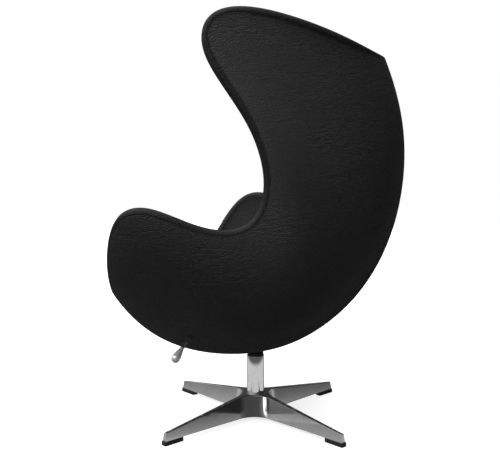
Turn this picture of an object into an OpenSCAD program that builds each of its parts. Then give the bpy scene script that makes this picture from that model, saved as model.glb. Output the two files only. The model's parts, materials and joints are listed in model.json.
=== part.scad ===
// Swivel egg armchair: an upholstered shell with wings and arms, on a gas column and a four-star base.
// Millimetres. +Z is up, the chair faces -Y and the sitter's left is +X.
// The origin is on the floor, below the middle of the chair's plan box.

/* [Star base] */
// Distance from the column's axis to the end of a leg
leg_reach = 330; // [290:5:370]
// Width of a leg at its end
leg_tip_w = 13; // [10:1:20]
// Width that a leg's sides would reach at the column's axis
leg_root_w = 33; // [30:1:44]
// Radius of the hollow between two legs
leg_fillet = 60; // [50:1:70]
// Height of a leg's top at its end
leg_tip_top = 32; // [28:1:38]
// Height of the hub's top
hub_top = 72; // [68:1:76]
// Radius of the flat on top of the hub
hub_flat = 38; // [34:1:42]
// How far the base is turned on its column
base_turn = 19; // [0:1:89]

/* [Feet] */
// Height of a foot pad
pad_h = 11; // [8:1:14]
// Length of a foot pad along its leg
pad_len = 62; // [40:1:80]
// Width of a foot pad
pad_w = 20; // [18:1:28]
// Overhang of a pad past the end of its leg
pad_over = 4; // [1:1:8]
// Radius of a pad screw
pad_screw_r = 2; // [1.5:0.25:2.5]

/* [Column] */
// Distance of the column's axis behind the origin, negative towards the front
column_y = -40; // [-60:1:-20]
// Radius of the chromed column tube
tube_r = 25; // [22:0.5:27]
// Wall of the column tube
tube_wall = 2; // [1.5:0.25:2.5]
// Height of the column tube's foot in the hub
tube_foot = 20; // [18:1:24]
// Height of the column tube's top
tube_top = 178; // [172:1:182]
// Height of the black guide bush that shows above the tube
bush_lip = 8; // [5:1:9]
// Length of the guide bush inside the tube
bush_len = 38; // [25:1:50]
// Radius of the gas cylinder
gas_r = 14; // [12:0.5:16]
// Height of the gas cylinder's lower end
gas_foot = 36; // [34:1:44]
// Height where the gas cylinder's cone starts
cone_foot = 200; // [196:1:202]
// Length of the gas cylinder's cone
cone_len = 34; // [30:1:36]
// Taper of the cone's radius over its length
cone_taper = 1; // [0.5:0.25:1.5]
// Radius of the piston rod
rod_r = 5; // [4:0.5:6]
// How far the seat rises
lift_travel = 70; // [50:5:90]

/* [Tilt mechanism] */
// Height of the tilt pivot above the bracket's floor
pivot_rise = 34; // [30:1:38]
// Radius of a pivot pin
pivot_r = 6; // [5:0.5:7]
// Distance from the chair's middle plane to the outer face of a bracket cheek
cheek_x = 42; // [38:1:46]
// Thickness of the steel plates
plate_t = 4; // [3:0.5:5]
// Height of the bracket's floor above the foot of the gas cylinder's cone
bracket_rise = 16; // [14:1:18]
// Reach of the bracket in front of the column
bracket_front = 60; // [55:1:66]
// Reach of the bracket behind the column
bracket_back = 22; // [21:1:24]
// Distance of the tilt spring in front of the column
spring_front = 45; // [44:1:46]
// Distance of the tilt spring to the right of the middle
spring_right = 22; // [19:1:24]
// Radius of the tilt spring's coil, to the wire's middle
spring_coil_r = 10.5; // [9:0.5:11]
// Radius of the tilt spring's wire
spring_wire_r = 2; // [1.5:0.25:2.25]
// Number of turns of the tilt spring
spring_turns = 5; // [4:1:6]
// Height of the seat plate's underside above the tilt pivot
plate_rise = 18; // [16:1:20]
// Half of the seat plate's width
plate_x = 100; // [95:1:105]
// Thickness of the plywood mounting board
board_t = 12; // [9:1:15]
// Half of the mounting board's width
board_x = 120; // [112:1:124]
// Front edge of the mounting board
board_front = -178; // [-182:1:-174]
// Rear edge of the mounting board
board_back = 74; // [70:1:76]

/* [Release lever] */
// Radius of the lever's steel rod
lever_r = 4; // [3:0.5:4.5]
// Length of the rod outside the shell, up to the grip's collar
lever_out = 42; // [30:1:60]
// Length of the chromed grip
grip_len = 48; // [40:1:70]
// Largest radius of the grip
grip_r = 9.5; // [8:0.5:12]
// How far the lever turns, in degrees
lever_turn = 1.6; // [1:0.1:1.8]
// Radius of the opening that the rod passes through
eye_r = 6.8; // [6.6:0.1:8]
// Radius of the release button on the gas cylinder
button_r = 3; // [2.5:0.25:3.5]
// Height of the release button above the gas cylinder
button_h = 5; // [5:0.5:6]

/* [Shell] */
// Overall thickness of the padded rim
rim_t = 30; // [28:1:34]
// Thickness of the outer leather with its wadding
cover_t = 3; // [2:0.5:3]
// Thickness of the glass-fibre shell
core_t = 8; // [6:0.5:8.5]
// Radius of the piping in the rim's seam
piping_r = 2.2; // [1.8:0.1:2.5]
// Radius of the column's hole in the shell
column_hole_r = 40; // [39:0.5:42]

/* [Seat cushion] */
// Height of the seat's floor at the front edge of the cushion, above the foot of the gas cylinder's cone
deck_rise = 135; // [132:1:138]
// Slope of the seat towards the back, in degrees
deck_slope = 4; // [3:0.25:4.5]
// Half of the cushion's width at its foot
cushion_x = 184; // [176:1:190]
// Front edge of the cushion's foot
cushion_front = -334; // [-334:1:-320]
// Rear edge of the cushion's foot
cushion_back = 94; // [80:1:100]
// Thickness of the cushion at its edge
cushion_h = 76; // [60:1:85]
// Extra height of the cushion's crown
cushion_crown = 14; // [5:1:20]
// How far the cushion's sides swell over its foot
cushion_swell = 86; // [50:1:88]

/* [Hidden] */
$fn = 48;

// Gaps: between fixed pieces, between the shell's layers, at the layers' edges, in a running fit, and
// between moving pieces
gap = 0.3;
layer_gap = 0.6;
edge_gap = 0.9;
fit = 0.03;
clear = 1;

// The seat stands on the gas cylinder's cone, so its heights are given above the cone's foot.
// Control net of the rim, from the front lip over the arm and the wing to the top, as [x, y, height]
RIM_OVER = [[0, -390, 155], [140, -385, 160], [255, -365, 180], [335, -340, 240], [390, -310, 330],
            [440, -255, 420], [445, -155, 440], [385, -25, 370], [325, 80, 375], [312, 110, 505],
            [325, 45, 680], [340, -75, 820], [325, -60, 932], [280, 61, 947], [173, 263, 869],
            [0, 367, 822]];
RIM = [for (p = RIM_OVER) p + [0, 0, cone_foot]];
// Control net of the middle line under the seat and up the back, as [y, height], without its two ends
SPINE_OVER = [[-405, 55], [-215, -40], [140, 10], [366, 288], [415, 651]];
SPINE_MID = [for (p = SPINE_OVER) p + [0, cone_foot]];
deck_z = cone_foot + deck_rise;
// How the shell's side runs into the rim, as [x, y, z]
REACH = [[45, 0, 85], [12, 0, 155], [5, -25, 170], [10, -65, 140], [20, -105, 90], [37, -115, 50],
         [60, -80, 30]];
// How far the shell runs straight out from its middle line
SPREAD = [[150], [225], [280], [315], [320], [290], [220]];

// The middle line ends on the rim: its end points follow from the rim's
function end_of(net) = (4 * net[0] + 2 * net[1]) / 6;
function reversed(list) = [for (i = [len(list) - 1:-1:0]) list[i]];
function yz(p) = [p[1], p[2]];
LIP = yz(end_of(RIM));
TOP = yz(end_of(reversed(RIM)));
SPINE = concat([(6 * LIP - 2 * SPINE_MID[0]) / 4], SPINE_MID,
               [(6 * TOP - 2 * SPINE_MID[len(SPINE_MID) - 1]) / 4]);

// Cubic B-spline over 0 to 1, mirrored at both ends
function times(p, s) = [for (i = [0:len(p) - 1]) p[i] * s[i]];
function ends_mirrored(net, s) = concat([times(net[1], s)], net, [times(net[len(net) - 2], s)]);
function weights(f) = [pow(1 - f, 3), 3 * pow(f, 3) - 6 * f * f + 4,
                       -3 * pow(f, 3) + 3 * f * f + 3 * f + 1, pow(f, 3)] / 6;
function along(net, t) =
    let (n = len(net) - 3, s = min(max(t, 0), 1) * n, i = min(floor(s), n - 1), w = weights(s - i))
    w[0] * net[i] + w[1] * net[i + 1] + w[2] * net[i + 2] + w[3] * net[i + 3];
RIM_NET = ends_mirrored(RIM, [-1, 1, 1]);
SPINE_NET = ends_mirrored(SPINE, [1, 1]);
REACH_NET = ends_mirrored(REACH, [1, 1, 1]);
SPREAD_NET = ends_mirrored(SPREAD, [1]);

// Outer face of the shell over a unit disc: a runs from the top (-1) to the front lip (1), b to the left
function shell_at(a, b) =
    let (h = sqrt(max(1 - a * a, 1e-9)),
         side = max(-1, min(1, b / h)),
         t = acos(max(-1, min(1, a))) / 180,
         k = sin(180 * t),
         u = abs(side),
         spine = along(SPINE_NET, t),
         rim = along(RIM_NET, t),
         foot = [0, spine[0], spine[1]],
         q1 = foot + [along(SPREAD_NET, t)[0] * k, 0, 0],
         q2 = rim - times(along(REACH_NET, t), [k, k * k, k * k]),
         p = pow(1 - u, 3) * foot + 3 * pow(1 - u, 2) * u * q1 + 3 * (1 - u) * u * u * q2 + pow(u, 3) * rim)
    [side < 0 ? -p[0] : p[0], p[1], p[2]];
function unit(v) = v / norm(v);
// Inward normal of the shell
function inward(a, b) =
    let (e = 0.01,
         k = min(1, (1 - 1.6 * e) / max(norm([a, b]), e)),
         da = shell_at(k * a + e, k * b) - shell_at(k * a - e, k * b),
         db = shell_at(k * a, k * b + e) - shell_at(k * a, k * b - e))
    unit(cross(da, db));
// Point of the shell at a depth below its outer face
function shell_in(a, b, depth) = shell_at(a, b) + depth * inward(a, b);

// Depths of the layers below the outer face
core_d1 = cover_t + layer_gap;
core_d2 = core_d1 + core_t;
pad_d1 = core_d2 + layer_gap;
// Distances from the rim: where the padding's nose starts, the shell ends, the piping lies and the cover
// ends
nose_r = rim_t / 2;
core_e = nose_r + 2 * edge_gap;
piping_e = nose_r + edge_gap + piping_r;
cover_e = piping_e + piping_r + edge_gap;
piping_d = core_d1 - edge_gap - piping_r;

// Steps over the disc to the point of the shell that lies nearest to a target
function settled(target, ab, n) = n == 0 ? ab :
    let (e = 0.004,
         u = (shell_at(ab[0] + e, ab[1]) - shell_at(ab[0] - e, ab[1])) / (2 * e),
         v = (shell_at(ab[0], ab[1] + e) - shell_at(ab[0], ab[1] - e)) / (2 * e),
         r = target - shell_at(ab[0], ab[1]),
         det = (u * u) * (v * v) - pow(u * v, 2),
         step = [(r * u) * (v * v) - (r * v) * (u * v), (r * v) * (u * u) - (r * u) * (u * v)] / det,
         next = ab + step)
    settled(target, next * min(1, 0.992 / norm(next)), n - 1);

// Points round the rim, its direction there, and the disc points beside them where the outer leather ends
ROUND = 60;
TURNS = [for (i = [0:ROUND - 1]) -360 * i / ROUND];
function rim_at(tau) = shell_at(cos(tau), sin(tau));
RIM_WAY = [for (tau = TURNS) unit(rim_at(tau + 1) - rim_at(tau - 1))];
EDGE = [for (i = [0:ROUND - 1])
    let (disc = [cos(TURNS[i]), sin(TURNS[i])], n = inward(disc[0], disc[1]))
    settled(rim_at(TURNS[i]) - cover_e * unit(cross(RIM_WAY[i], n)), 0.97 * disc, 6)];
// Frames on the rim: the point, the way out of the shell and the way in through its thickness
FRAMES = [for (i = [0:ROUND - 1])
    let (rim = rim_at(TURNS[i]),
         way = rim - shell_at(EDGE[i][0], EDGE[i][1]),
         out = unit(way - (way * RIM_WAY[i]) * RIM_WAY[i]))
    [rim, out, cross(out, RIM_WAY[i])]];

// Rings of points round the shell, from its middle to near the rim
RINGS = [0.22, 0.41, 0.58, 0.74, 0.87, 0.95];
function shell_ring(share, depth) = [for (ab = share * EDGE) shell_in(ab[0], ab[1], depth)];
// Ring at a distance from the rim, measured along the shell, and a depth below its outer face
function rim_ring(away, depth) = [for (f = FRAMES) f[0] - away * f[1] + depth * f[2]];

// Solid through closed rings of equal count, closed by a point at each end. From ring number back on, the
// rings return over the same grid and the facets are cut the other way, so that two layers lie parallel.
module ring_solid(first, rings, last, back = undef) {
    n = len(rings[0]);
    m = len(rings);
    turn = back == undef ? m : back;
    function facets(j, p, q) =
        j < turn ? [[p, q, p + n], [q, q + n, p + n]] : [[p, q, q + n], [p, q + n, p + n]];
    points = concat([first], [for (r = rings) for (p = r) p], [last]);
    faces = concat(
        [for (i = [0:n - 1]) [0, 1 + (i + 1) % n, 1 + i]],
        [for (j = [0:m - 2], i = [0:n - 1]) each facets(j, 1 + j * n + i, 1 + j * n + (i + 1) % n)],
        [for (i = [0:n - 1]) [m * n + 1, 1 + (m - 1) * n + i, 1 + (m - 1) * n + (i + 1) % n]]);
    polyhedron(points, faces, convexity = 10);
}

// Tube through closed rings of points, the last joined to the first
module ring_tube(rings) {
    n = len(rings[0]);
    m = len(rings);
    polyhedron([for (r = rings) for (p = r) p],
        [for (j = [0:m - 1], i = [0:n - 1])
            let (here = j * n, next = (j + 1) % m * n, k = (i + 1) % n)
            each [[here + i, next + i, here + k], [here + k, next + i, next + k]]], convexity = 10);
}

module to_column() {
    translate([0, column_y, 0]) children();
}

// Star base and feet
leg_slope = (leg_root_w - leg_tip_w) / 2 / leg_reach;
leg_angle = atan(leg_slope);
fillet_c = (leg_fillet / cos(leg_angle) + leg_tip_w / 2 + leg_reach * leg_slope) / (1 + leg_slope);
web_far = fillet_c - leg_fillet * sin(leg_angle);
web_near = fillet_c - leg_fillet * cos(leg_angle);
pad_mid = leg_reach + pad_over - pad_len / 2;
pad_corner = 5;

module at_legs() {
    to_column() for (i = [0:3]) rotate(45 + base_turn + 90 * i) children();
}

module at_leg(i) {
    to_column() rotate(45 + base_turn + 90 * i) children();
}

module star_outline() {
    difference() {
        union() {
            for (i = [0:3]) rotate(90 * i)
                polygon([[0, -leg_root_w / 2], [leg_reach, -leg_tip_w / 2], [leg_reach, leg_tip_w / 2],
                         [0, leg_root_w / 2]]);
            for (i = [0:3]) rotate(90 * i)
                polygon([[0, 0], [web_far, -web_near], [web_far, web_near], [web_near, web_far]]);
        }
        for (i = [0:3]) rotate(90 * i) translate([fillet_c, fillet_c]) circle(leg_fillet);
    }
}

module star_base() {
    color("silver") difference() {
        to_column() rotate(45 + base_turn) intersection() {
            translate([0, 0, pad_h]) linear_extrude(hub_top - pad_h) star_outline();
            rotate_extrude() polygon([[0, pad_h], [leg_reach + 1, pad_h], [leg_reach + 1, leg_tip_top],
                                      [leg_reach, leg_tip_top], [hub_flat, hub_top], [0, hub_top]]);
        }
        to_column() translate([0, 0, tube_foot]) cylinder(h = hub_top, r = tube_r + fit);
        to_column() cylinder(h = hub_top, r = tube_r - 5);
        at_legs() translate([pad_mid, 0, pad_h - 1]) cylinder(h = 16, r = pad_screw_r + fit);
    }
}

module pad_outline() {
    square([pad_len - 2 * pad_corner, pad_w], center = true);
    square([pad_len, pad_w - 2 * pad_corner], center = true);
    for (x = [-1, 1], y = [-1, 1])
        translate([x * (pad_len / 2 - pad_corner), y * (pad_w / 2 - pad_corner)]) circle(pad_corner);
}

module foot_pad(i) {
    color("black") at_leg(i) translate([pad_mid, 0, 0]) difference() {
        linear_extrude(pad_h) pad_outline();
        translate([0, 0, -1]) cylinder(h = 5, r = 2 * pad_screw_r + 2 * gap);
        translate([0, 0, -1]) cylinder(h = pad_h + 2, r = pad_screw_r + fit);
    }
}

module pad_screws() {
    color("dimgray") at_legs() translate([pad_mid, 0, 0]) {
        translate([0, 0, 2]) cylinder(h = 2, r = 2 * pad_screw_r);
        translate([0, 0, 2]) cylinder(h = pad_h + 12, r = pad_screw_r);
    }
}

// Gas column
tube_in = tube_r - tube_wall;
floor_t = 4;
washer_t = 2;
ball_r = 1.5;
ball_ring = 8.5;
spigot_r = rod_r - 1;
washer_z = tube_foot + floor_t;
ball_z = washer_z + washer_t + fit + ball_r;
upper_z = ball_z + ball_r + fit;
rod_z = upper_z + washer_t;
gas_wall = 2;
cap_t = 8;
cone_top = cone_foot + cone_len;
piston_r = gas_r - gas_wall - fit;
piston_z = cone_foot - 20;
piston_h = 12;

module column_tube() {
    color("gainsboro") to_column() difference() {
        translate([0, 0, tube_foot]) cylinder(h = tube_top - tube_foot, r = tube_r);
        translate([0, 0, washer_z]) cylinder(h = tube_top, r = tube_in);
        cylinder(h = tube_top, r = spigot_r + gap);
    }
}

module guide_bush() {
    color("black") to_column() difference() {
        union() {
            translate([0, 0, tube_top - bush_len]) cylinder(h = bush_len + 1, r = tube_in - fit);
            translate([0, 0, tube_top]) cylinder(h = bush_lip, r = tube_r - 1.5);
        }
        cylinder(h = 2 * tube_top, r = gas_r + fit);
    }
}

module bearing_lower() {
    color("gray") to_column() translate([0, 0, washer_z]) difference() {
        cylinder(h = washer_t, r = ball_ring + 4);
        translate([0, 0, -1]) cylinder(h = washer_t + 2, r = spigot_r + gap);
    }
}

module bearing_balls() {
    color("lightgray") to_column() for (i = [0:11]) rotate(30 * i)
        translate([ball_ring, 0, ball_z]) sphere(ball_r);
}

module bearing_upper() {
    color("gray") to_column() translate([0, 0, upper_z]) difference() {
        cylinder(h = washer_t, r = ball_ring + 4);
        translate([0, 0, -1]) cylinder(h = washer_t + 2, r = spigot_r + fit);
    }
}

module piston_rod() {
    color("lightgray") to_column() {
        translate([0, 0, tube_foot - 8]) cylinder(h = rod_z, r = spigot_r);
        translate([0, 0, rod_z]) cylinder(h = piston_z - rod_z, r = rod_r);
        translate([0, 0, piston_z]) cylinder(h = piston_h, r = piston_r);
    }
}

module rod_clip() {
    color("gray") to_column() translate([0, 0, tube_foot - gap - 4]) difference() {
        cylinder(h = 4, r = spigot_r + 5);
        translate([0, 0, -1]) cylinder(h = 6, r = spigot_r + fit);
    }
}

module gas_cylinder() {
    color("dimgray") to_column() difference() {
        union() {
            translate([0, 0, gas_foot]) cylinder(h = cone_foot - gas_foot, r = gas_r);
            translate([0, 0, cone_foot]) cylinder(h = cone_len, r1 = gas_r, r2 = gas_r - cone_taper);
        }
        translate([0, 0, gas_foot + cap_t])
            cylinder(h = cone_foot - gas_foot - cap_t - 2, r = gas_r - gas_wall);
        cylinder(h = gas_foot + cap_t + 1, r = rod_r + fit);
        translate([0, 0, cone_top - 25]) cylinder(h = 26, r = button_r + fit);
    }
}

module release_pin() {
    color("silver") to_column() translate([0, 0, cone_top - 20]) cylinder(h = 20 + button_h, r = button_r);
}

// Tilt mechanism
bracket_z = cone_foot + bracket_rise;
pivot_z = bracket_z + pivot_rise;
plate_z = pivot_z + plate_rise;
cheek_r = 13;
seat_cheek_x = cheek_x + 1.5;
pin_out = seat_cheek_x + plate_t + 0.5;
bush_wall = 2;
hub_r = 21;
spring_z = bracket_z + plate_t;
peg_h = 26;
stop_size = [20, 11, plate_z - gap - spring_z];
stop_x = 8;

module across(x, r, l) {
    translate([x, 0, 0]) rotate([0, 90, 0]) cylinder(h = l, r = r);
}

// Plate that stands or hangs beside the pivot, with a round end about the pivot and a straight root
module cheek(x, root_z) {
    low = min(root_z, pivot_z);
    to_column() {
        translate([x, -cheek_r, low]) cube([plate_t, 2 * cheek_r, abs(root_z - pivot_z)]);
        translate([0, 0, pivot_z]) across(x, cheek_r, plate_t);
    }
}

module tilt_bracket() {
    color("dimgray") difference() {
        union() {
            to_column() translate([-cheek_x, -bracket_front, bracket_z])
                cube([2 * cheek_x, bracket_front + bracket_back, plate_t]);
            for (s = [-1, 1]) to_column()
                translate([s > 0 ? cheek_x - plate_t : -cheek_x, -bracket_front, bracket_z])
                    cube([plate_t, bracket_front + bracket_back, 3 * plate_t]);
            cheek(cheek_x - plate_t, bracket_z);
            cheek(-cheek_x, bracket_z);
            to_column() translate([0, 0, bracket_z]) cylinder(h = cone_top - 2 - bracket_z, r = hub_r);
            to_column() translate([0, 0, cone_foot + 4]) cylinder(h = bracket_rise, r = hub_r);
        }
        to_column() translate([0, 0, cone_foot])
            cylinder(h = cone_len, r1 = gas_r + fit, r2 = gas_r + fit - cone_taper);
        to_column() translate([0, 0, pivot_z]) across(-cheek_x - 1, pivot_r + fit, 2 * cheek_x + 2);
    }
}

module pivot_pin(s) {
    color("silver") to_column() translate([0, 0, pivot_z]) mirror([s < 0 ? 1 : 0, 0, 0]) {
        across(cheek_x - plate_t - 2, pivot_r, pin_out - cheek_x + plate_t + 2);
        across(pin_out, pivot_r + 3, 3);
    }
}

module pivot_bushes() {
    color("peru") to_column() translate([0, 0, pivot_z]) for (s = [0, 1]) mirror([s, 0, 0]) difference() {
        across(seat_cheek_x, pivot_r + bush_wall, plate_t);
        across(seat_cheek_x - 1, pivot_r + fit, plate_t + 2);
    }
}

module tilt_spring() {
    steps = spring_turns * 10;
    low = spring_z + gap + spring_wire_r;
    high = plate_z - gap - spring_wire_r;
    function mid(i) =
        [spring_coil_r * cos(36 * i), spring_coil_r * sin(36 * i), low + (high - low) * i / steps];
    function section(i) = [for (k = [0:5])
        let (out = [cos(36 * i), sin(36 * i), 0])
        mid(i) + spring_wire_r * (cos(60 * k) * out + sin(60 * k) * [0, 0, 1])];
    color("silver") translate([-spring_right, column_y - spring_front, 0])
        ring_solid(mid(0), [for (i = [0:steps]) section(i)], mid(steps));
}

module spring_peg() {
    color("gray") translate([-spring_right, column_y - spring_front, spring_z])
        cylinder(h = peg_h, r = spring_coil_r - 4.5);
}

module stop_block() {
    color("black") translate([stop_x, column_y - bracket_front + 1, spring_z]) difference() {
        cube(stop_size);
        translate([stop_size[0] / 2, stop_size[1] / 2, -1]) cylinder(h = 12, r = 2.5);
    }
}

bolt_x = 85;
bolt_front = -132;
bolt_back = 28;
bolt_r = 4;
plate_front = -150;
plate_back = 40;
BOLTS = [for (x = [-bolt_x, bolt_x], y = [bolt_front, bolt_back]) [x, y]];

module seat_plate() {
    color("dimgray") difference() {
        union() {
            translate([-plate_x, plate_front, plate_z])
                cube([2 * plate_x, plate_back - plate_front, plate_t]);
            cheek(seat_cheek_x, plate_z + 1);
            cheek(-seat_cheek_x - plate_t, plate_z + 1);
        }
        to_column() translate([0, 0, pivot_z])
            across(-seat_cheek_x - plate_t - 1, pivot_r + bush_wall + fit,
                   2 * (seat_cheek_x + plate_t) + 2);
        for (b = BOLTS) translate([b[0], b[1], plate_z - 1]) cylinder(h = plate_t + 2, r = bolt_r + gap);
    }
}

board_z = plate_z + plate_t;
board_top = board_z + board_t;
nut_r = 5.5;
flange_r = 10;
flange_t = 2;

module plate_bolts() {
    color("silver") for (b = BOLTS) translate([b[0], b[1], plate_z]) {
        translate([0, 0, -5]) cylinder(h = 5, r = 6.5, $fn = 6);
        cylinder(h = plate_t + board_t - 1, r = bolt_r);
    }
}

module tee_nuts() {
    color("goldenrod") for (b = BOLTS) translate([b[0], b[1], board_top]) difference() {
        union() {
            translate([0, 0, -flange_t]) cylinder(h = flange_t, r = flange_r);
            translate([0, 0, -board_t + 1]) cylinder(h = board_t - 1, r = nut_r);
        }
        translate([0, 0, -board_t]) cylinder(h = board_t + 1, r = bolt_r + fit);
    }
}

screw_x = 90;
screw_r = 2.5;
screw_len = 30;
front_block_t = 26;
rear_block_t = 12;
block_h = 90;
SCREWS = [for (x = [-screw_x, screw_x], y = [board_front + 13, board_back - 7]) [x, y]];

module mounting_board() {
    color("burlywood") difference() {
        translate([-board_x, board_front, board_z]) cube([2 * board_x, board_back - board_front, board_t]);
        for (b = BOLTS) translate([b[0], b[1], board_z - 1]) cylinder(h = board_t + 2, r = nut_r + fit);
        for (b = BOLTS) translate([b[0], b[1], board_top - flange_t - fit])
            cylinder(h = 5, r = flange_r + fit);
        for (s = SCREWS) translate([s[0], s[1], board_z - 1]) cylinder(h = board_t + 2, r = screw_r + fit);
        for (s = SCREWS) translate([s[0], s[1], board_top - 3]) cylinder(h = 5, r = 2 * screw_r + fit);
    }
}

module block_screws() {
    color("silver") for (s = SCREWS) translate([s[0], s[1], board_top]) {
        translate([0, 0, -2.5]) cylinder(h = 2.5, r = 2 * screw_r);
        translate([0, 0, -screw_len]) cylinder(h = screw_len, r = screw_r);
    }
}

// Everything inside the shell below a depth, closed in front of the opening
module shell_fill(depth) {
    ring_solid(shell_in(0, 0, depth),
        concat([for (share = RINGS) shell_ring(share, depth)], [rim_ring(cover_e, depth)]),
        [0, LIP[0] - block_h, TOP[1]]);
}

module block(y1, y2) {
    color("burlywood") difference() {
        intersection() {
            translate([-board_x, y1, board_z - block_h]) cube([2 * board_x, y2 - y1, block_h]);
            shell_fill(pad_d1);
        }
        for (s = SCREWS) translate([s[0], s[1], board_top - screw_len - 1])
            cylinder(h = screw_len + 2, r = screw_r + fit);
    }
}

module front_block() {
    block(board_front, board_front + front_block_t);
}

module rear_block() {
    block(board_back - rear_block_t, board_back);
}

// Release lever: a bent rod from the button to the grip, hinged on lugs under the seat plate
EYE_AB = [0.4014, 0.3193];
EYE = shell_at(EYE_AB[0], EYE_AB[1]);
EYE_OUT = -inward(EYE_AB[0], EYE_AB[1]);
HANG = unit([0.83, -0.107, -0.55]);
BEND = EYE - 22 * HANG;
finger_y = 32;
finger_w = 10;
finger_t = 8;
finger_z = cone_top + button_h + clear;
hinge_x = 76;
hinge_z = pivot_z;
knee_x = 128;
FINGER = [0, column_y - finger_y, hinge_z];
PLAN = unit([BEND[0] - FINGER[0], BEND[1] - FINGER[1], 0]);
PLAN_TURN = atan2(PLAN[1], PLAN[0]);
HINGE = FINGER + PLAN * hinge_x / PLAN[0];
KNEE = FINGER + PLAN * knee_x / PLAN[0];
hinge_block = [24, 12, 14];
axle_r = 3;
lug_t = 3;

module rod_between(p, q, r) {
    v = q - p;
    translate(p) rotate([0, acos(v[2] / norm(v)), atan2(v[1], v[0])]) cylinder(h = norm(v), r = r);
}

module facing(p, direction) {
    translate(p) rotate([0, acos(direction[2]), atan2(direction[1], direction[0])]) children();
}

module at_hinge() {
    translate(HINGE) rotate(PLAN_TURN) children();
}

module axle_hole(r) {
    at_hinge() rotate([90, 0, 0]) translate([0, 0, -20]) cylinder(h = 40, r = r);
}

module release_cam() {
    reach = norm(HINGE - FINGER);
    color("dimgray") difference() {
        union() {
            translate([-finger_w / 2, column_y - finger_y - finger_w / 2, finger_z])
                cube([finger_w, finger_y + finger_w, finger_t]);
            at_hinge() translate([-reach, -finger_w / 2, finger_z - hinge_z])
                cube([reach, finger_w, finger_t]);
            at_hinge() translate(-hinge_block / 2) cube(hinge_block);
        }
        axle_hole(axle_r + fit);
        at_hinge() translate([hinge_block[0] / 2 - 8, 0, 0]) rotate([0, 90, 0])
            cylinder(h = 9, r = lever_r + fit);
    }
}

module lever_axle() {
    l = hinge_block[1] + 2 * (lug_t + 1) + 3;
    color("silver") at_hinge() rotate([90, 0, 0]) translate([0, 0, -l / 2]) cylinder(h = l, r = axle_r);
}

module lever_lugs() {
    color("dimgray") difference() {
        for (s = [-1, 1])
            at_hinge() translate([-9, s * (hinge_block[1] / 2 + 0.5 + lug_t / 2) - lug_t / 2, -8])
                cube([18, lug_t, plate_z - hinge_z + 8]);
        axle_hole(axle_r + fit);
    }
}

ROD_START = HINGE + (hinge_block[0] / 2 - 7) * PLAN;
ROD_END = EYE + lever_out * HANG;
collar_t = 5;
collar_wall = 1.5;
elbow_r = lever_r + 0.2;
// Length of the rod inside the grip
rod_hold = 10;

module lever_rod() {
    color("gray") {
        rod_between(ROD_START, KNEE, lever_r);
        translate(KNEE) sphere(elbow_r);
        rod_between(KNEE, BEND, lever_r);
        translate(BEND) sphere(elbow_r);
        rod_between(BEND, ROD_END + rod_hold * HANG, lever_r);
    }
}

module lever_collar() {
    color("black") facing(ROD_END - collar_t * HANG, HANG) difference() {
        cylinder(h = collar_t, r = lever_r + collar_wall);
        translate([0, 0, -1]) cylinder(h = collar_t + 2, r = lever_r + fit);
    }
}

module lever_grip() {
    color("gainsboro") facing(ROD_END, HANG) difference() {
        rotate_extrude() {
            polygon([[0, 0], [lever_r + collar_wall, 0], [grip_r * 0.92, grip_len * 0.55],
                     [grip_r, grip_len - grip_r], [0, grip_len - grip_r]]);
            intersection() {
                translate([0, grip_len - grip_r]) circle(grip_r);
                square([grip_r, grip_len]);
            }
        }
        translate([0, 0, -1]) cylinder(h = rod_hold + 2, r = lever_r + fit);
    }
}

// Eyelet in the shell's side: its opening follows the rod and leaves room for the rod's swing
eye_wall = 1.6;
eye_flange_r = 11.2;
eye_stand = 1;
AXIS = [PLAN[1], -PLAN[0], 0];
SWING = cross(AXIS, EYE - HINGE) * lever_turn * PI / 180;
EYE_MID = EYE + (SWING - (SWING * HANG) * HANG) / 2;

module eye_hole(r) {
    facing(EYE_MID - (core_d2 + 12) * HANG, HANG) cylinder(h = core_d2 + 24, r = r);
}

module eye_seat(r) {
    facing(EYE - 3 * cover_t * EYE_OUT, EYE_OUT) cylinder(h = 20, r = r);
}

module lever_eyelet() {
    color("black") difference() {
        union() {
            facing(EYE_MID - (core_d2 + 2) * HANG, HANG) cylinder(h = core_d2, r = eye_r + eye_wall);
            facing(EYE - cover_t * EYE_OUT, EYE_OUT) cylinder(h = cover_t + eye_stand, r = eye_flange_r);
        }
        eye_hole(eye_r);
    }
}

// Shell, upholstery and cushion
module column_hole() {
    to_column() cylinder(h = cone_foot + 20, r = column_hole_r);
}

module layer(d1, d2, away) {
    ring_solid(shell_in(0, 0, d1),
        concat([for (share = RINGS) shell_ring(share, d1)], [rim_ring(cover_e, d1)],
               away < cover_e ? [rim_ring(away, d1), rim_ring(away, d2)] : [],
               [rim_ring(cover_e, d2)], [for (share = reversed(RINGS)) shell_ring(share, d2)]),
        shell_in(0, 0, d2), back = len(RINGS) + 1);
}

module shell_core() {
    color("tan") difference() {
        layer(core_d1, core_d2, core_e);
        column_hole();
        eye_hole(eye_r + eye_wall + gap);
    }
}

module outer_cover() {
    color([0.09, 0.09, 0.09]) difference() {
        layer(0, cover_t, cover_e);
        column_hole();
        eye_seat(eye_flange_r + gap);
    }
}

// The padding's inner face is lifted to a flat floor under the cushion
function floor_z(y) = deck_z - (y - cushion_front) * tan(deck_slope);
function floored(p) = [p[0], p[1], max(p[2], floor_z(p[1]))];
function floored_ring(r) = [for (p = r) floored(p)];
NOSE = [for (phi = [0:45:180]) [nose_r * (1 - sin(phi)), nose_r * (1 - cos(phi))]];
pocket_gap = 1;
channel_r = 11;
channel_lift = 3;

// Channel under the padding that the release lever swings in
module lever_channel() {
    up = [0, 0, channel_lift];
    rod_between(HINGE + up, KNEE + 5 * PLAN + up, channel_r, $fn = 8);
    rod_between(KNEE + up, BEND + up, channel_r, $fn = 8);
    rod_between(BEND - 9 * HANG + up, EYE_MID, channel_r, $fn = 8);
}

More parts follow.
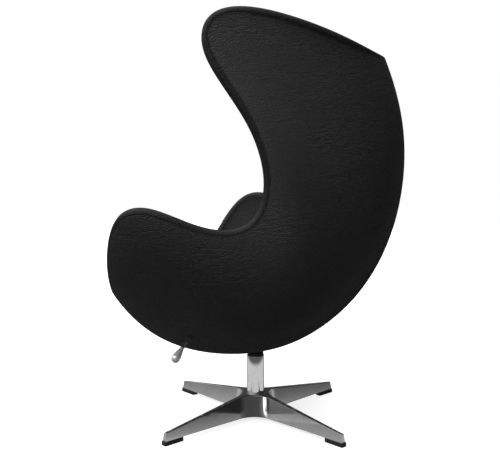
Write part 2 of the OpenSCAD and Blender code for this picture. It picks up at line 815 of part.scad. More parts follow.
module inner_padding() {
    color([0.11, 0.11, 0.11]) difference() {
        ring_solid(shell_in(0, 0, pad_d1),
            concat([for (share = RINGS) shell_ring(share, pad_d1)],
                   [rim_ring(cover_e, pad_d1), rim_ring(core_e, pad_d1), rim_ring(nose_r, pad_d1)],
                   [for (q = NOSE) rim_ring(q[0], q[1])], [rim_ring(cover_e, rim_t)],
                   [for (share = reversed(RINGS)) floored_ring(shell_ring(share, rim_t))]),
            floored(shell_in(0, 0, rim_t)), back = len(RINGS) + 3 + len(NOSE));
        translate([-board_x - pocket_gap, board_front - pocket_gap, 0])
            cube([2 * (board_x + pocket_gap), board_back - board_front + 2 * pocket_gap, board_top + gap]);
        lever_channel();
    }
}

module rim_piping() {
    sides = 8;
    color("black") ring_tube([for (f = FRAMES)
        let (mid = f[0] - piping_e * f[1] + piping_d * f[2])
        [for (k = [0:sides - 1])
            let (turn = 360 * k / sides)
            mid + piping_r * (cos(turn) * f[1] + sin(turn) * f[2])]]);
}

// Plan of the cushion: a rounded square, narrower behind, grown outwards by a distance
cushion_mid = -120;
plan_power = 0.72;
plan_taper = 0.06;
front_growth = 0.12;
rear_growth = 0.62;
function power(v, e) = sign(v) * pow(abs(v), e);
function cushion_plan(phi, grow) =
    let (in_front = sin(phi) < 0,
         lengthwise = grow < 0 ? grow : grow * (in_front ? front_growth : rear_growth),
         reach = in_front ? cushion_mid - cushion_front : cushion_back - cushion_mid,
         x = power(cos(phi), plan_power) * (cushion_x + grow),
         y = power(sin(phi), plan_power) * (reach + lengthwise))
    [x * (1 - plan_taper * (1 + y / reach)), cushion_mid + y];
// The cushion's section from its foot to its crown, as shares of its swell and its thickness, and its top,
// as distances in from the foot and shares of the crown
CUSHION_SIDE = [[0, 0], [0.4, 0.12], [0.72, 0.3], [1, 0.55], [0.98, 0.72], [0.8, 0.88], [0.45, 0.98]];
CUSHION_TOP = [[0, 0.2], [50, 0.5], [110, 0.85]];
CUSHION_SECTION = concat([[-60, 0]],
    [for (p = CUSHION_SIDE) [p[0] * cushion_swell, p[1] * cushion_h]],
    [for (p = CUSHION_TOP) [-p[0], cushion_h + p[1] * cushion_crown]]);
cushion_sides = 48;

module seat_cushion() {
    color([0.1, 0.1, 0.1]) translate([0, cushion_front, deck_z + gap]) rotate([-deck_slope, 0, 0])
        translate([0, -cushion_front, 0])
            ring_solid([0, cushion_mid, 0], [for (s = CUSHION_SECTION)
                [for (i = [0:cushion_sides - 1])
                    let (p = cushion_plan(-360 * i / cushion_sides, s[0])) [p[0], p[1], s[1]]]],
                [0, cushion_mid, cushion_h + cushion_crown]);
}

star_base();
foot_pad(0);  // foot_pad_1
foot_pad(1);  // foot_pad_2
foot_pad(2);  // foot_pad_3
foot_pad(3);  // foot_pad_4
pad_screws();
column_tube();
guide_bush();
bearing_lower();
bearing_balls();
bearing_upper();
piston_rod();
rod_clip();
gas_cylinder();
release_pin();
tilt_bracket();
pivot_pin(1);  // pivot_pin_left
pivot_pin(-1);  // pivot_pin_right
pivot_bushes();
tilt_spring();
spring_peg();
stop_block();
seat_plate();
plate_bolts();
tee_nuts();
mounting_board();
front_block();
rear_block();
block_screws();
lever_lugs();
lever_axle();
release_cam();
lever_rod();
lever_collar();
lever_grip();
lever_eyelet();
shell_core();
outer_cover();
inner_padding();
rim_piping();
seat_cushion();
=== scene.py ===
"""Looks of a swivel egg armchair: leather upholstery, polished star base, chromed column and release lever.

Lengths are metres in the part's own frame: +Z up, the chair faces -Y and the sitter's left is +X.
"""

from __future__ import annotations

import json
import logging
import math
from dataclasses import dataclass, field
from enum import Enum
from typing import Any, Sequence

import bmesh
import bpy
import numpy as np
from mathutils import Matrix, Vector

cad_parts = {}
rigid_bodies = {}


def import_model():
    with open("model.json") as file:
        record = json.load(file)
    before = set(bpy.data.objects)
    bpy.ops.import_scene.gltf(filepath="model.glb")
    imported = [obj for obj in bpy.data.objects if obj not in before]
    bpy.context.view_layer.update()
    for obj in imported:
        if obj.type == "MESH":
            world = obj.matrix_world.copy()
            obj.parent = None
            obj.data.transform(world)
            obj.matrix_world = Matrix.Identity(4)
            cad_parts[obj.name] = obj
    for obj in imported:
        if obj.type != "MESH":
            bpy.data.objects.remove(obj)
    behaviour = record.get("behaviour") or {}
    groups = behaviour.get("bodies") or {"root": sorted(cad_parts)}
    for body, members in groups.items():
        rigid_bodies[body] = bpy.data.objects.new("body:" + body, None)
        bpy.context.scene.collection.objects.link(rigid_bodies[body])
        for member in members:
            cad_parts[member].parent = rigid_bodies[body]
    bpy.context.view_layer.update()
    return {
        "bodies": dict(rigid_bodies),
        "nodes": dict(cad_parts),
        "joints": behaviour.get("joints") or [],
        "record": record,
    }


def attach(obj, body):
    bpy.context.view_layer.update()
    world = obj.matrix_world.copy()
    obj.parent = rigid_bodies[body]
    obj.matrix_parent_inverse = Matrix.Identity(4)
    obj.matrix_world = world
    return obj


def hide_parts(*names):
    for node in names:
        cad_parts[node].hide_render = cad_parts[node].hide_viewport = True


LOG = logging.getLogger("armchair")
MM = 0.001
UP = (0.0, 0.0, 1.0)
Array = np.ndarray
Colour = tuple[float, float, float]
Roll = tuple[tuple[float, float], ...]


# Shader graphs


class Scalar:
    """A socket that carries a number, with Python arithmetic that adds Math nodes."""

    def __init__(self, graph: "Graph", socket: bpy.types.NodeSocket) -> None:
        """Wraps a socket.

        Args:
            graph: the graph that the socket belongs to.
            socket: an output socket that carries a number.
        """
        self.graph = graph
        self.socket = socket

    def _math(self, operation: str, *operands: "Scalar | float") -> "Scalar":
        """Adds one Math node.

        Args:
            operation: the node's operation.
            operands: the node's inputs, in order.

        Returns:
            The node's result.
        """
        node = self.graph.node("ShaderNodeMath", {"operation": operation}, dict(enumerate(operands)))
        return Scalar(self.graph, node.outputs[0])

    def __add__(self, other: "Scalar | float") -> "Scalar":
        """Sum."""
        return self._math("ADD", self, other)

    __radd__ = __add__

    def __sub__(self, other: "Scalar | float") -> "Scalar":
        """Difference."""
        return self._math("SUBTRACT", self, other)

    def __rsub__(self, other: float) -> "Scalar":
        """Difference from a number."""
        return self._math("SUBTRACT", other, self)

    def __mul__(self, other: "Scalar | float") -> "Scalar":
        """Product."""
        return self._math("MULTIPLY", self, other)

    __rmul__ = __mul__

    def __abs__(self) -> "Scalar":
        """Absolute value."""
        return self._math("ABSOLUTE", self)

    def between(self, low: float, high: float, smooth: bool = True) -> "Scalar":
        """Remaps low..high to 0..1 and holds the ends.

        Args:
            low: the value that becomes 0.
            high: the value that becomes 1.
            smooth: eases both ends.

        Returns:
            A value from 0 to 1.
        """
        kind = "SMOOTHSTEP" if smooth else "LINEAR"
        node = self.graph.node(
            "ShaderNodeMapRange",
            {"interpolation_type": kind, "clamp": True},
            {"Value": self, "From Min": low, "From Max": high, "To Min": 0.0, "To Max": 1.0},
        )
        return Scalar(self.graph, node.outputs["Result"])


class Graph:
    """A material's or world's node tree."""

    def __init__(self, owner: bpy.types.Material | bpy.types.World) -> None:
        """Empties the owner's node tree.

        Args:
            owner: a material or world.
        """
        owner.use_nodes = True
        self.tree = owner.node_tree
        self.tree.nodes.clear()

    def node(self, kind: str, settings: dict[str, Any] | None = None,
             inputs: dict[str | int, Any] | None = None) -> bpy.types.Node:
        """Adds a node.

        Args:
            kind: the node's type name.
            settings: its properties, set first.
            inputs: a value, Scalar or socket for each input, by name or index.

        Returns:
            The new node.
        """
        node = self.tree.nodes.new(kind)
        for name, value in (settings or {}).items():
            setattr(node, name, value)
        for key, value in (inputs or {}).items():
            socket = node.inputs[key]
            source = value.socket if isinstance(value, Scalar) else value
            if isinstance(source, bpy.types.NodeSocket):
                self.tree.links.new(source, socket)
            else:
                socket.default_value = source
        return node

    def scalar(self, kind: str, output: str | int, settings: dict[str, Any] | None = None,
               inputs: dict[str | int, Any] | None = None) -> Scalar:
        """Adds a node and returns one output as a Scalar.

        Args:
            kind: the node's type name.
            output: the output's name or index.
            settings: as for node.
            inputs: as for node.

        Returns:
            The output.
        """
        return Scalar(self, self.node(kind, settings, inputs).outputs[output])

    def place(self, scale: Sequence[float] = (1.0, 1.0, 1.0),
              turn: Sequence[float] = (0.0, 0.0, 0.0)) -> bpy.types.NodeSocket:
        """Object coordinates, turned and then stretched.

        Args:
            scale: a factor along each axis.
            turn: Euler angles in radians.

        Returns:
            A vector socket.
        """
        coordinates = self.node("ShaderNodeTexCoord").outputs["Object"]
        mapping = self.node("ShaderNodeMapping", None,
                            {"Vector": coordinates, "Rotation": tuple(turn), "Scale": tuple(scale)})
        return mapping.outputs["Vector"]

    def position(self) -> list[Scalar]:
        """Object coordinates as three numbers: x, y and z."""
        split = self.node("ShaderNodeSeparateXYZ", None, {"Vector": self.place()})
        return [Scalar(self, split.outputs[axis]) for axis in "XYZ"]

    def noise(self, where: bpy.types.NodeSocket, scale: float, detail: float = 2.0,
              roughness: float = 0.5) -> Scalar:
        """Noise from 0 to 1.

        Args:
            where: a vector socket.
            scale: cells for each metre.
            detail: number of octaves.
            roughness: strength of each finer octave.

        Returns:
            The noise's value.
        """
        return self.scalar("ShaderNodeTexNoise", 0, None,
                           {"Vector": where, "Scale": scale, "Detail": detail, "Roughness": roughness})

    def shifted(self, where: bpy.types.NodeSocket, scale: float, amount: float) -> bpy.types.NodeSocket:
        """Coordinates moved about by noise.

        Args:
            where: a vector socket.
            scale: the noise's cells for each metre.
            amount: the furthest move, in the units of where.

        Returns:
            A vector socket.
        """
        noise = self.node("ShaderNodeTexNoise", None, {"Vector": where, "Scale": scale, "Detail": 2.0})
        centred = self.node("ShaderNodeVectorMath", {"operation": "SUBTRACT"},
                            {0: noise.outputs["Color"], 1: (0.5, 0.5, 0.5)})
        moved = self.node("ShaderNodeVectorMath", {"operation": "MULTIPLY_ADD"},
                          {0: centred.outputs[0], 1: (2 * amount,) * 3, 2: where})
        return moved.outputs[0]

    def blend(self, amount: Scalar, low: Sequence[float], high: Sequence[float]) -> bpy.types.NodeSocket:
        """Mixes two colours.

        Args:
            amount: 0 gives low and 1 gives high.
            low: a linear RGB colour.
            high: a linear RGB colour.

        Returns:
            A colour socket.
        """
        node = self.node("ShaderNodeMix", {"data_type": "RGBA"},
                         {"Factor": amount, 6: (*low, 1.0), 7: (*high, 1.0)})
        return node.outputs[2]

    def bump(self, height: Scalar, depth: float, strength: float = 1.0) -> bpy.types.NodeSocket:
        """A normal from a height.

        Args:
            height: a value from 0 to 1.
            depth: the distance that 1 stands for, in metres.
            strength: how much of it shows.

        Returns:
            A normal socket.
        """
        node = self.node("ShaderNodeBump", None, {"Height": height, "Distance": depth, "Strength": strength})
        return node.outputs["Normal"]

    def surface(self, inputs: dict[str, Any]) -> None:
        """Ends a material in a Principled shader.

        Args:
            inputs: values or sockets of the shader.
        """
        shader = self.node("ShaderNodeBsdfPrincipled", None, inputs)
        self.node("ShaderNodeOutputMaterial", None, {"Surface": shader.outputs[0]})


# Finishes


class Finish:
    """A finish that builds its material once."""

    title = "finish"

    def paint(self, graph: Graph) -> None:
        """Builds the nodes.

        Args:
            graph: the material's empty graph.
        """
        raise NotImplementedError

    def material(self) -> bpy.types.Material:
        """The finish's material, made when first asked for.

        Returns:
            The material.
        """
        found = bpy.data.materials.get(self.title)
        if found is None:
            found = bpy.data.materials.new(self.title)
            self.paint(Graph(found))
        return found


@dataclass(frozen=True)
class GrainedLeather(Finish):
    """Black milled leather: fine pebbles, stronger in patches, and short creases that lie sideways.

    The cell sizes are in metres and the noises' scales in cells for each metre. The heights are shares of
    relief, which is the bump's depth in metres.
    """

    title: str = "black_grained_leather"
    dark: Colour = (0.0078, 0.0078, 0.0081)
    light: Colour = (0.0168, 0.0168, 0.0172)
    shine: float = 0.5
    seam: bool = False
    pebble: float = 0.0062
    pebble_edge: float = 0.28
    grain: float = 0.0026
    grain_edge: float = 0.3
    stretch: float = 1.35
    relief: float = 0.0006
    pebble_height: float = 0.95
    patch_height: float = 0.35
    grain_height: float = 0.25
    ripple_height: float = 1.2
    swell_height: float = 0.9
    fold_height: float = 1.1
    seam_height: float = 0.5
    tightening: float = 0.5
    wear_share: float = 0.65
    base_gloss: float = 0.55
    slant_gloss: float = 0.30

    def cells(self, graph: Graph, where: bpy.types.NodeSocket, size: float) -> Scalar:
        """Irregular cells: the distance to the nearest edge, in cell sizes.

        Args:
            graph: the material's graph.
            where: a vector socket.
            size: a cell's size, in metres.

        Returns:
            The distance.
        """
        return graph.scalar("ShaderNodeTexVoronoi", "Distance", {"feature": "DISTANCE_TO_EDGE"},
                            {"Vector": where, "Scale": 1 / size})

    def folds(self, graph: Graph) -> Scalar:
        """Creases: thin lines where a noise drawn out sideways crosses its middle, fading in and out.

        Args:
            graph: the material's graph.

        Returns:
            1 in a crease and 0 beside it.
        """
        flat = graph.shifted(graph.place((0.20, 0.20, 1.0), (0.06, 0.0, 0.0)), 30.0, 0.006)
        line = 1 - abs(graph.noise(flat, 75.0) - 0.5).between(0.0, 0.055)
        near = graph.noise(flat, 22.0).between(0.40, 0.60)
        return line * (near * graph.noise(graph.place(), 6.0).between(0.32, 0.50))

    def tightness(self, graph: Graph) -> Scalar:
        """How tightly the leather is pulled: 1 along the wings' hollow sides, fading to 0 round them.

        Args:
            graph: the material's graph.

        Returns:
            A share from 0 to 1.
        """
        _, y, z = graph.position()
        return (y.between(-0.06, 0.04) * (1 - y.between(0.16, 0.26))
                * z.between(0.56, 0.66) * (1 - z.between(0.98, 1.06)))

    def panel_seam(self, graph: Graph) -> Scalar:
        """The seam between side and back panel, which drops from the neck and bends back near the foot.

        Args:
            graph: the material's graph.

        Returns:
            1 on the seam and 0 beside it.
        """
        x, y, z = graph.position()
        line = 0.099 + 0.22 * (0.40 - z).between(0.0, 0.40, False)
        beside = abs(y - line)
        return (1 - beside.between(0.0, 0.0016)) * abs(x).between(0.10, 0.14) * (1 - z.between(0.60, 0.62))

    def paint(self, graph: Graph) -> None:
        """Builds the nodes.

        Args:
            graph: the material's empty graph.
        """
        plain = graph.place()
        drawn = graph.shifted(graph.place((1 / self.stretch, 1 / self.stretch, 1.0)), 60.0, 0.005)
        patches = graph.noise(plain, 6.0, 3.0).between(0.42, 0.60)
        pebbles = self.cells(graph, drawn, self.pebble).between(0.0, self.pebble_edge)
        finely = graph.shifted(plain, 160.0, 0.002)
        grains = self.cells(graph, finely, self.grain).between(0.0, self.grain_edge)
        flat = graph.shifted(graph.place((0.30, 0.30, 1.0), (0.10, 0.0, 0.0)), 25.0, 0.008)
        ripples = graph.noise(flat, 125.0, 2.5, 0.55)
        ripple_share = graph.noise(plain, 5.0).between(0.42, 0.66)
        swells = graph.noise(plain, 16.0)
        folds = self.folds(graph)
        height = (pebbles * (self.pebble_height + self.patch_height * patches) + grains * self.grain_height
                  + ripples * (0.55 + 1.1 * ripple_share) * self.ripple_height
                  + swells * self.swell_height - folds * self.fold_height)
        height = height * (1 - self.tightening * self.tightness(graph))
        wear = graph.noise(plain, 90.0, 4.0, 0.6)
        # The creases also lower the colour, which is painted shade in the creases on top of their bump;
        # pebbles and wear vary the tone at random.
        tone = pebbles * (1 - self.wear_share) + wear * self.wear_share - 0.25 * folds
        gloss = self.base_gloss - 0.06 * grains + 0.05 * (1 - pebbles) + 0.10 * (wear - 0.5) + 0.10 * folds
        if self.seam:
            seam = self.panel_seam(graph)
            height = height - self.seam_height * seam
            tone = tone - 0.15 * seam
        aslant = graph.scalar("ShaderNodeLayerWeight", "Facing", None, {"Blend": 0.5}).between(0.55, 1.0)
        graph.surface({
            "Base Color": graph.blend(tone.between(0.15, 0.85), self.dark, self.light),
            "Roughness": gloss + self.slant_gloss * aslant,
            "Specular IOR Level": self.shine,
            "Sheen Weight": 0.02,
            "Sheen Roughness": 0.5,
            "Normal": graph.bump(height, self.relief, 0.9),
        })


@dataclass(frozen=True)
class Metal(Finish):
    """A polished or ground metal with faint smears and hair lines; matt_top dulls the faces that look up."""

    title: str = "metal"
    colour: Colour = (0.6, 0.6, 0.6)
    roughness: float = 0.2
    smear: float = 0.05
    line_scale: tuple[float, float, float] = (400.0, 400.0, 20.0)
    line_depth: float = 0.00002
    metallic: float = 1.0
    matt_top: float = 0.0
    worn: float = 0.88

    def paint(self, graph: Graph) -> None:
        """Builds the nodes.

        Args:
            graph: the material's empty graph.
        """
        plain = graph.place()
        smears = graph.noise(plain, 22.0, 4.0, 0.6)
        lines = graph.noise(graph.place(self.line_scale), 1.0, 3.0, 0.65)
        tint = (smears * 0.7 + lines * 0.3).between(0.3, 0.7)
        darker = tuple(self.worn * c for c in self.colour)
        roughness = self.roughness + self.smear * (smears - 0.5) + 0.5 * self.smear * (lines - 0.5)
        if self.matt_top:
            normal = graph.node("ShaderNodeTexCoord").outputs["Normal"]
            up = Scalar(graph, graph.node("ShaderNodeSeparateXYZ", None, {"Vector": normal}).outputs["Z"])
            roughness = roughness + self.matt_top * up.between(0.30, 0.80)
        graph.surface({
            "Base Color": graph.blend(tint, darker, self.colour),
            "Metallic": self.metallic,
            "Roughness": roughness,
            "Normal": graph.bump(lines, self.line_depth, 0.5),
        })


@dataclass(frozen=True)
class Moulded(Finish):
    """Rubber, plastic or powder coat with a fine even texture."""

    title: str = "moulded"
    colour: Colour = (0.02, 0.02, 0.02)
    roughness: float = 0.5
    texture: float = 0.0008
    depth: float = 0.00006

    def paint(self, graph: Graph) -> None:
        """Builds the nodes.

        Args:
            graph: the material's empty graph.
        """
        plain = graph.place()
        pits = graph.noise(plain, 1 / self.texture, 2.0)
        dust = graph.noise(plain, 35.0, 4.0, 0.6)
        lighter = tuple(min(1.0, 1.45 * c + 0.002) for c in self.colour)
        graph.surface({
            "Base Color": graph.blend(dust.between(0.35, 0.75), self.colour, lighter),
            "Roughness": self.roughness + 0.12 * (dust - 0.5),
            "Normal": graph.bump(pits, self.depth, 0.6),
        })


@dataclass(frozen=True)
class Plywood(Finish):
    """Raw plywood: long grain on the faces and glued layers on the edges."""

    title: str = "raw_plywood"
    pale: Colour = (0.50, 0.34, 0.19)
    deep: Colour = (0.30, 0.18, 0.09)
    ply: float = 0.0015

    def paint(self, graph: Graph) -> None:
        """Builds the nodes.

        Args:
            graph: the material's empty graph.
        """
        grain = graph.noise(graph.place((9.0, 160.0, 160.0)), 1.0, 5.0, 0.6)
        layers = graph.scalar("ShaderNodeTexWave", "Fac", {"bands_direction": "Z"},
                              {"Vector": graph.place(), "Scale": 0.157 / self.ply, "Distortion": 0.4})
        tone = (grain * 0.75 + layers * 0.25).between(0.3, 0.75)
        graph.surface({
            "Base Color": graph.blend(tone, self.deep, self.pale),
            "Roughness": 0.62 + 0.15 * grain,
            "Normal": graph.bump(grain, 0.0002, 0.6),
        })


@dataclass(frozen=True)
class Laminate(Finish):
    """Raw glass-fibre laminate: chopped strands in amber resin."""

    title: str = "glass_fibre_laminate"
    resin: Colour = (0.33, 0.24, 0.12)
    strand: Colour = (0.52, 0.45, 0.30)

    def paint(self, graph: Graph) -> None:
        """Builds the nodes.

        Args:
            graph: the material's empty graph.
        """
        one_way = graph.noise(graph.place((500.0, 40.0, 60.0), (0.3, 0.2, 0.5)), 1.0, 3.0)
        other_way = graph.noise(graph.place((45.0, 520.0, 70.0), (0.1, 0.6, 0.2)), 1.0, 3.0)
        strands = (one_way * 0.5 + other_way * 0.5).between(0.4, 0.6)
        graph.surface({
            "Base Color": graph.blend(strands, self.resin, self.strand),
            "Roughness": 0.30 + 0.2 * strands,
            "Normal": graph.bump(strands, 0.0002, 0.6),
        })


LEATHER = GrainedLeather()
PANEL_LEATHER = GrainedLeather("black_panel_leather", seam=True)
# The inner skin's leather is the same grained leather, painted darker and given less shine: painted shade on
# the inner face, not a different hide.
INNER_LEATHER_PAINTED_SHADE = GrainedLeather("black_inner_leather_painted_shade", (0.0068, 0.0068, 0.0071), (0.0130, 0.0130, 0.0133), 0.2)
ALUMINIUM = Metal("polished_cast_aluminium", (0.50, 0.50, 0.505), 0.085, 0.05, (300.0, 300.0, 60.0),
                  matt_top=0.30)
SATIN_CHROME = Metal("satin_chrome", (0.86, 0.86, 0.87), 0.22, 0.06, (60.0, 60.0, 60.0), 0.000004, 0.5)
CHROME = Metal("mirror_chrome", (0.80, 0.80, 0.81), 0.045, 0.02, (60.0, 60.0, 60.0), 0.000004)
ZINC = Metal("zinc_plating", (0.52, 0.52, 0.53), 0.30, 0.10)
GROUND_STEEL = Metal("ground_steel", (0.58, 0.58, 0.59), 0.18, 0.06, (200.0, 200.0, 1500.0))
BRONZE = Metal("sintered_bronze", (0.45, 0.28, 0.13), 0.42, 0.12)
PAD_RUBBER = Moulded("pad_rubber", (0.012, 0.012, 0.012), 0.62, 0.0011, 0.0001)
BLACK_PLASTIC = Moulded("black_plastic", (0.012, 0.012, 0.012), 0.38, 0.0009, 0.00005)
POWDER_COAT = Moulded("powder_coat", (0.018, 0.018, 0.018), 0.45, 0.0007, 0.00008)
PLYWOOD = Plywood()
LAMINATE = Laminate()


# Meshes on grids


def smoothed(obj: bpy.types.Object, angle: float = 35.0) -> None:
    """Shades a piece smooth, with hard edges past an angle.

    Args:
        obj: a mesh object.
        angle: the sharpest angle that still shades smooth, in degrees.
    """
    mesh = obj.data
    mesh.shade_smooth()
    mesh.set_sharp_from_angle(angle=math.radians(angle))


def new_piece(name: str, points: Array, faces: Sequence[Sequence[int]], finish: Finish,
              sharp: float = 35.0) -> bpy.types.Object:
    """Makes a mesh object and dresses it.

    Args:
        name: the piece's name.
        points: n by 3 vertices in metres.
        faces: lists of vertex indices, counterclockwise from outside.
        finish: the piece's finish.
        sharp: the sharpest angle that still shades smooth, in degrees.

    Returns:
        The new object.
    """
    mesh = bpy.data.meshes.new(name)
    mesh.from_pydata(np.asarray(points, float).tolist(), [], [list(map(int, f)) for f in faces])
    mesh.validate()
    bm = bmesh.new()
    bm.from_mesh(mesh)
    bmesh.ops.remove_doubles(bm, verts=bm.verts, dist=1e-6)
    bmesh.ops.recalc_face_normals(bm, faces=bm.faces)
    bm.to_mesh(mesh)
    bm.free()
    obj = bpy.data.objects.new(name, mesh)
    bpy.context.scene.collection.objects.link(obj)
    obj.data.materials.append(finish.material())
    smoothed(obj, sharp)
    return obj


def grid_faces(rows: int, columns: int, wrap_rows: bool = False) -> Array:
    """Quads of a grid of closed rows, whose vertices are numbered row by row.

    Args:
        rows: number of rows.
        columns: vertices in each row.
        wrap_rows: joins the last row to the first.

    Returns:
        m by 4 vertex indices.
    """
    r = np.arange(rows if wrap_rows else rows - 1)
    i, j = np.meshgrid(r, np.arange(columns), indexing="ij")
    i2, j2 = (i + 1) % rows, (j + 1) % columns
    quads = np.stack([i * columns + j, i * columns + j2, i2 * columns + j2, i2 * columns + j], -1)
    return quads.reshape(-1, 4)


def capped_grid(rings: Array, first: Array | None = None, last: Array | None = None) -> tuple[Array, list]:
    """A surface through closed rings, with a fan to a point at either end.

    Args:
        rings: rows by columns by 3 points.
        first: a point that closes the first ring, or None to leave it open.
        last: a point that closes the last ring, or None to leave it open.

    Returns:
        The points and the faces.
    """
    rows, columns = rings.shape[:2]
    points = rings.reshape(-1, 3)
    faces = [list(q) for q in grid_faces(rows, columns)]
    j = np.arange(columns)
    following = (j + 1) % columns
    if first is not None:
        faces += [[len(points), b, a] for a, b in zip(j, following)]
        points = np.vstack([points, first])
    if last is not None:
        base = (rows - 1) * columns
        faces += [[len(points), base + a, base + b] for a, b in zip(j, following)]
        points = np.vstack([points, last])
    return points, faces


def unit(v: Array) -> Array:
    """Vectors scaled to length 1."""
    return v / np.maximum(np.linalg.norm(v, axis=-1, keepdims=True), 1e-12)


def axes_about(direction: Array) -> tuple[Array, Array]:
    """Two unit vectors square to a direction and to each other.

    Args:
        direction: a unit vector.

    Returns:
        The two vectors.
    """
    helper = np.array([0.0, 0.0, 1.0]) if abs(direction[2]) < 0.9 else np.array([1.0, 0.0, 0.0])
    side = unit(np.cross(helper, direction))
    return side, np.cross(direction, side)


def turned(name: str, profile: Sequence[tuple[float, float]], origin: Sequence[float],
           direction: Sequence[float], finish: Finish, sides: int = 64, closed: bool = False,
           sharp: float = 35.0) -> bpy.types.Object:
    """A body of revolution: each profile point (radius, height) sweeps a circle about the axis.

    Args:
        name: the piece's name.
        profile: radius and height of each point, in metres, from the bottom of the outside.
        origin: the axis's start.
        direction: the axis's direction.
        finish: the piece's finish.
        sides: points round the circle.
        closed: joins the last profile point to the first, as for a tube.
        sharp: the sharpest angle that still shades smooth, in degrees.

    Returns:
        The new object.
    """
    axis = unit(np.asarray(direction, float))
    side, up = axes_about(axis)
    turn = np.linspace(0, 2 * math.pi, sides, endpoint=False)
    spokes = np.cos(turn)[:, None] * side + np.sin(turn)[:, None] * up
    profile_array = np.asarray(profile, float)
    rings = (np.asarray(origin, float) + profile_array[:, None, 1:] * axis
             + profile_array[:, None, :1] * spokes[None])
    points = rings.reshape(-1, 3)
    faces = grid_faces(len(profile_array), sides, wrap_rows=closed)
    return new_piece(name, points, faces, finish, sharp)


def arc(centre: tuple[float, float], radius: float, start: float, end: float,
        count: int) -> list[tuple[float, float]]:
    """Points of an arc: centre plus radius times cosine and sine of the angle.

    Args:
        centre: the arc's centre.
        radius: its radius.
        start: first angle, in degrees.
        end: last angle, in degrees.
        count: number of points.

    Returns:
        The points, in order.
    """
    turn = np.radians(np.linspace(start, end, count))
    return [(centre[0] + radius * math.cos(t), centre[1] + radius * math.sin(t)) for t in turn]


def tube_along(name: str, path: Array, radius: float, finish: Finish, sides: int = 12) -> bpy.types.Object:
    """A round tube along a closed path: each point carries a circle square to the path.

    Args:
        name: the piece's name.
        path: n by 3 points.
        radius: the tube's radius.
        finish: the piece's finish.
        sides: points round the circle.

    Returns:
        The new object.
    """
    tangent = unit(np.roll(path, -1, 0) - np.roll(path, 1, 0))
    outward = path - path.mean(0)
    outward = unit(outward - (outward * tangent).sum(1, keepdims=True) * tangent)
    other = np.cross(tangent, outward)
    turn = np.linspace(0, 2 * math.pi, sides, endpoint=False)
    rings = (path[:, None] + radius * (np.cos(turn)[None, :, None] * outward[:, None]
                                       + np.sin(turn)[None, :, None] * other[:, None]))
    return new_piece(name, rings.reshape(-1, 3), grid_faces(len(path), sides, wrap_rows=True), finish, 80)


def baked(piece: bpy.types.Object) -> bpy.types.Mesh:
    """A piece's mesh with its modifiers applied, which are then removed.

    Args:
        piece: a mesh object.

    Returns:
        The new mesh.
    """
    mesh = bpy.data.meshes.new_from_object(piece.evaluated_get(bpy.context.evaluated_depsgraph_get()))
    piece.modifiers.clear()
    return mesh


def cut_away(piece: bpy.types.Object, cutter: bpy.types.Object) -> None:
    """Cuts one mesh out of another.

    Args:
        piece: the mesh that keeps its outside.
        cutter: the closed mesh that is taken away, and then deleted.
    """
    modifier = piece.modifiers.new("cut", "BOOLEAN")
    modifier.operation = "DIFFERENCE"
    modifier.solver = "EXACT"
    modifier.object = cutter
    piece.data = baked(piece)
    bpy.data.objects.remove(cutter)
    smoothed(piece, 60)


# Shell and upholstery


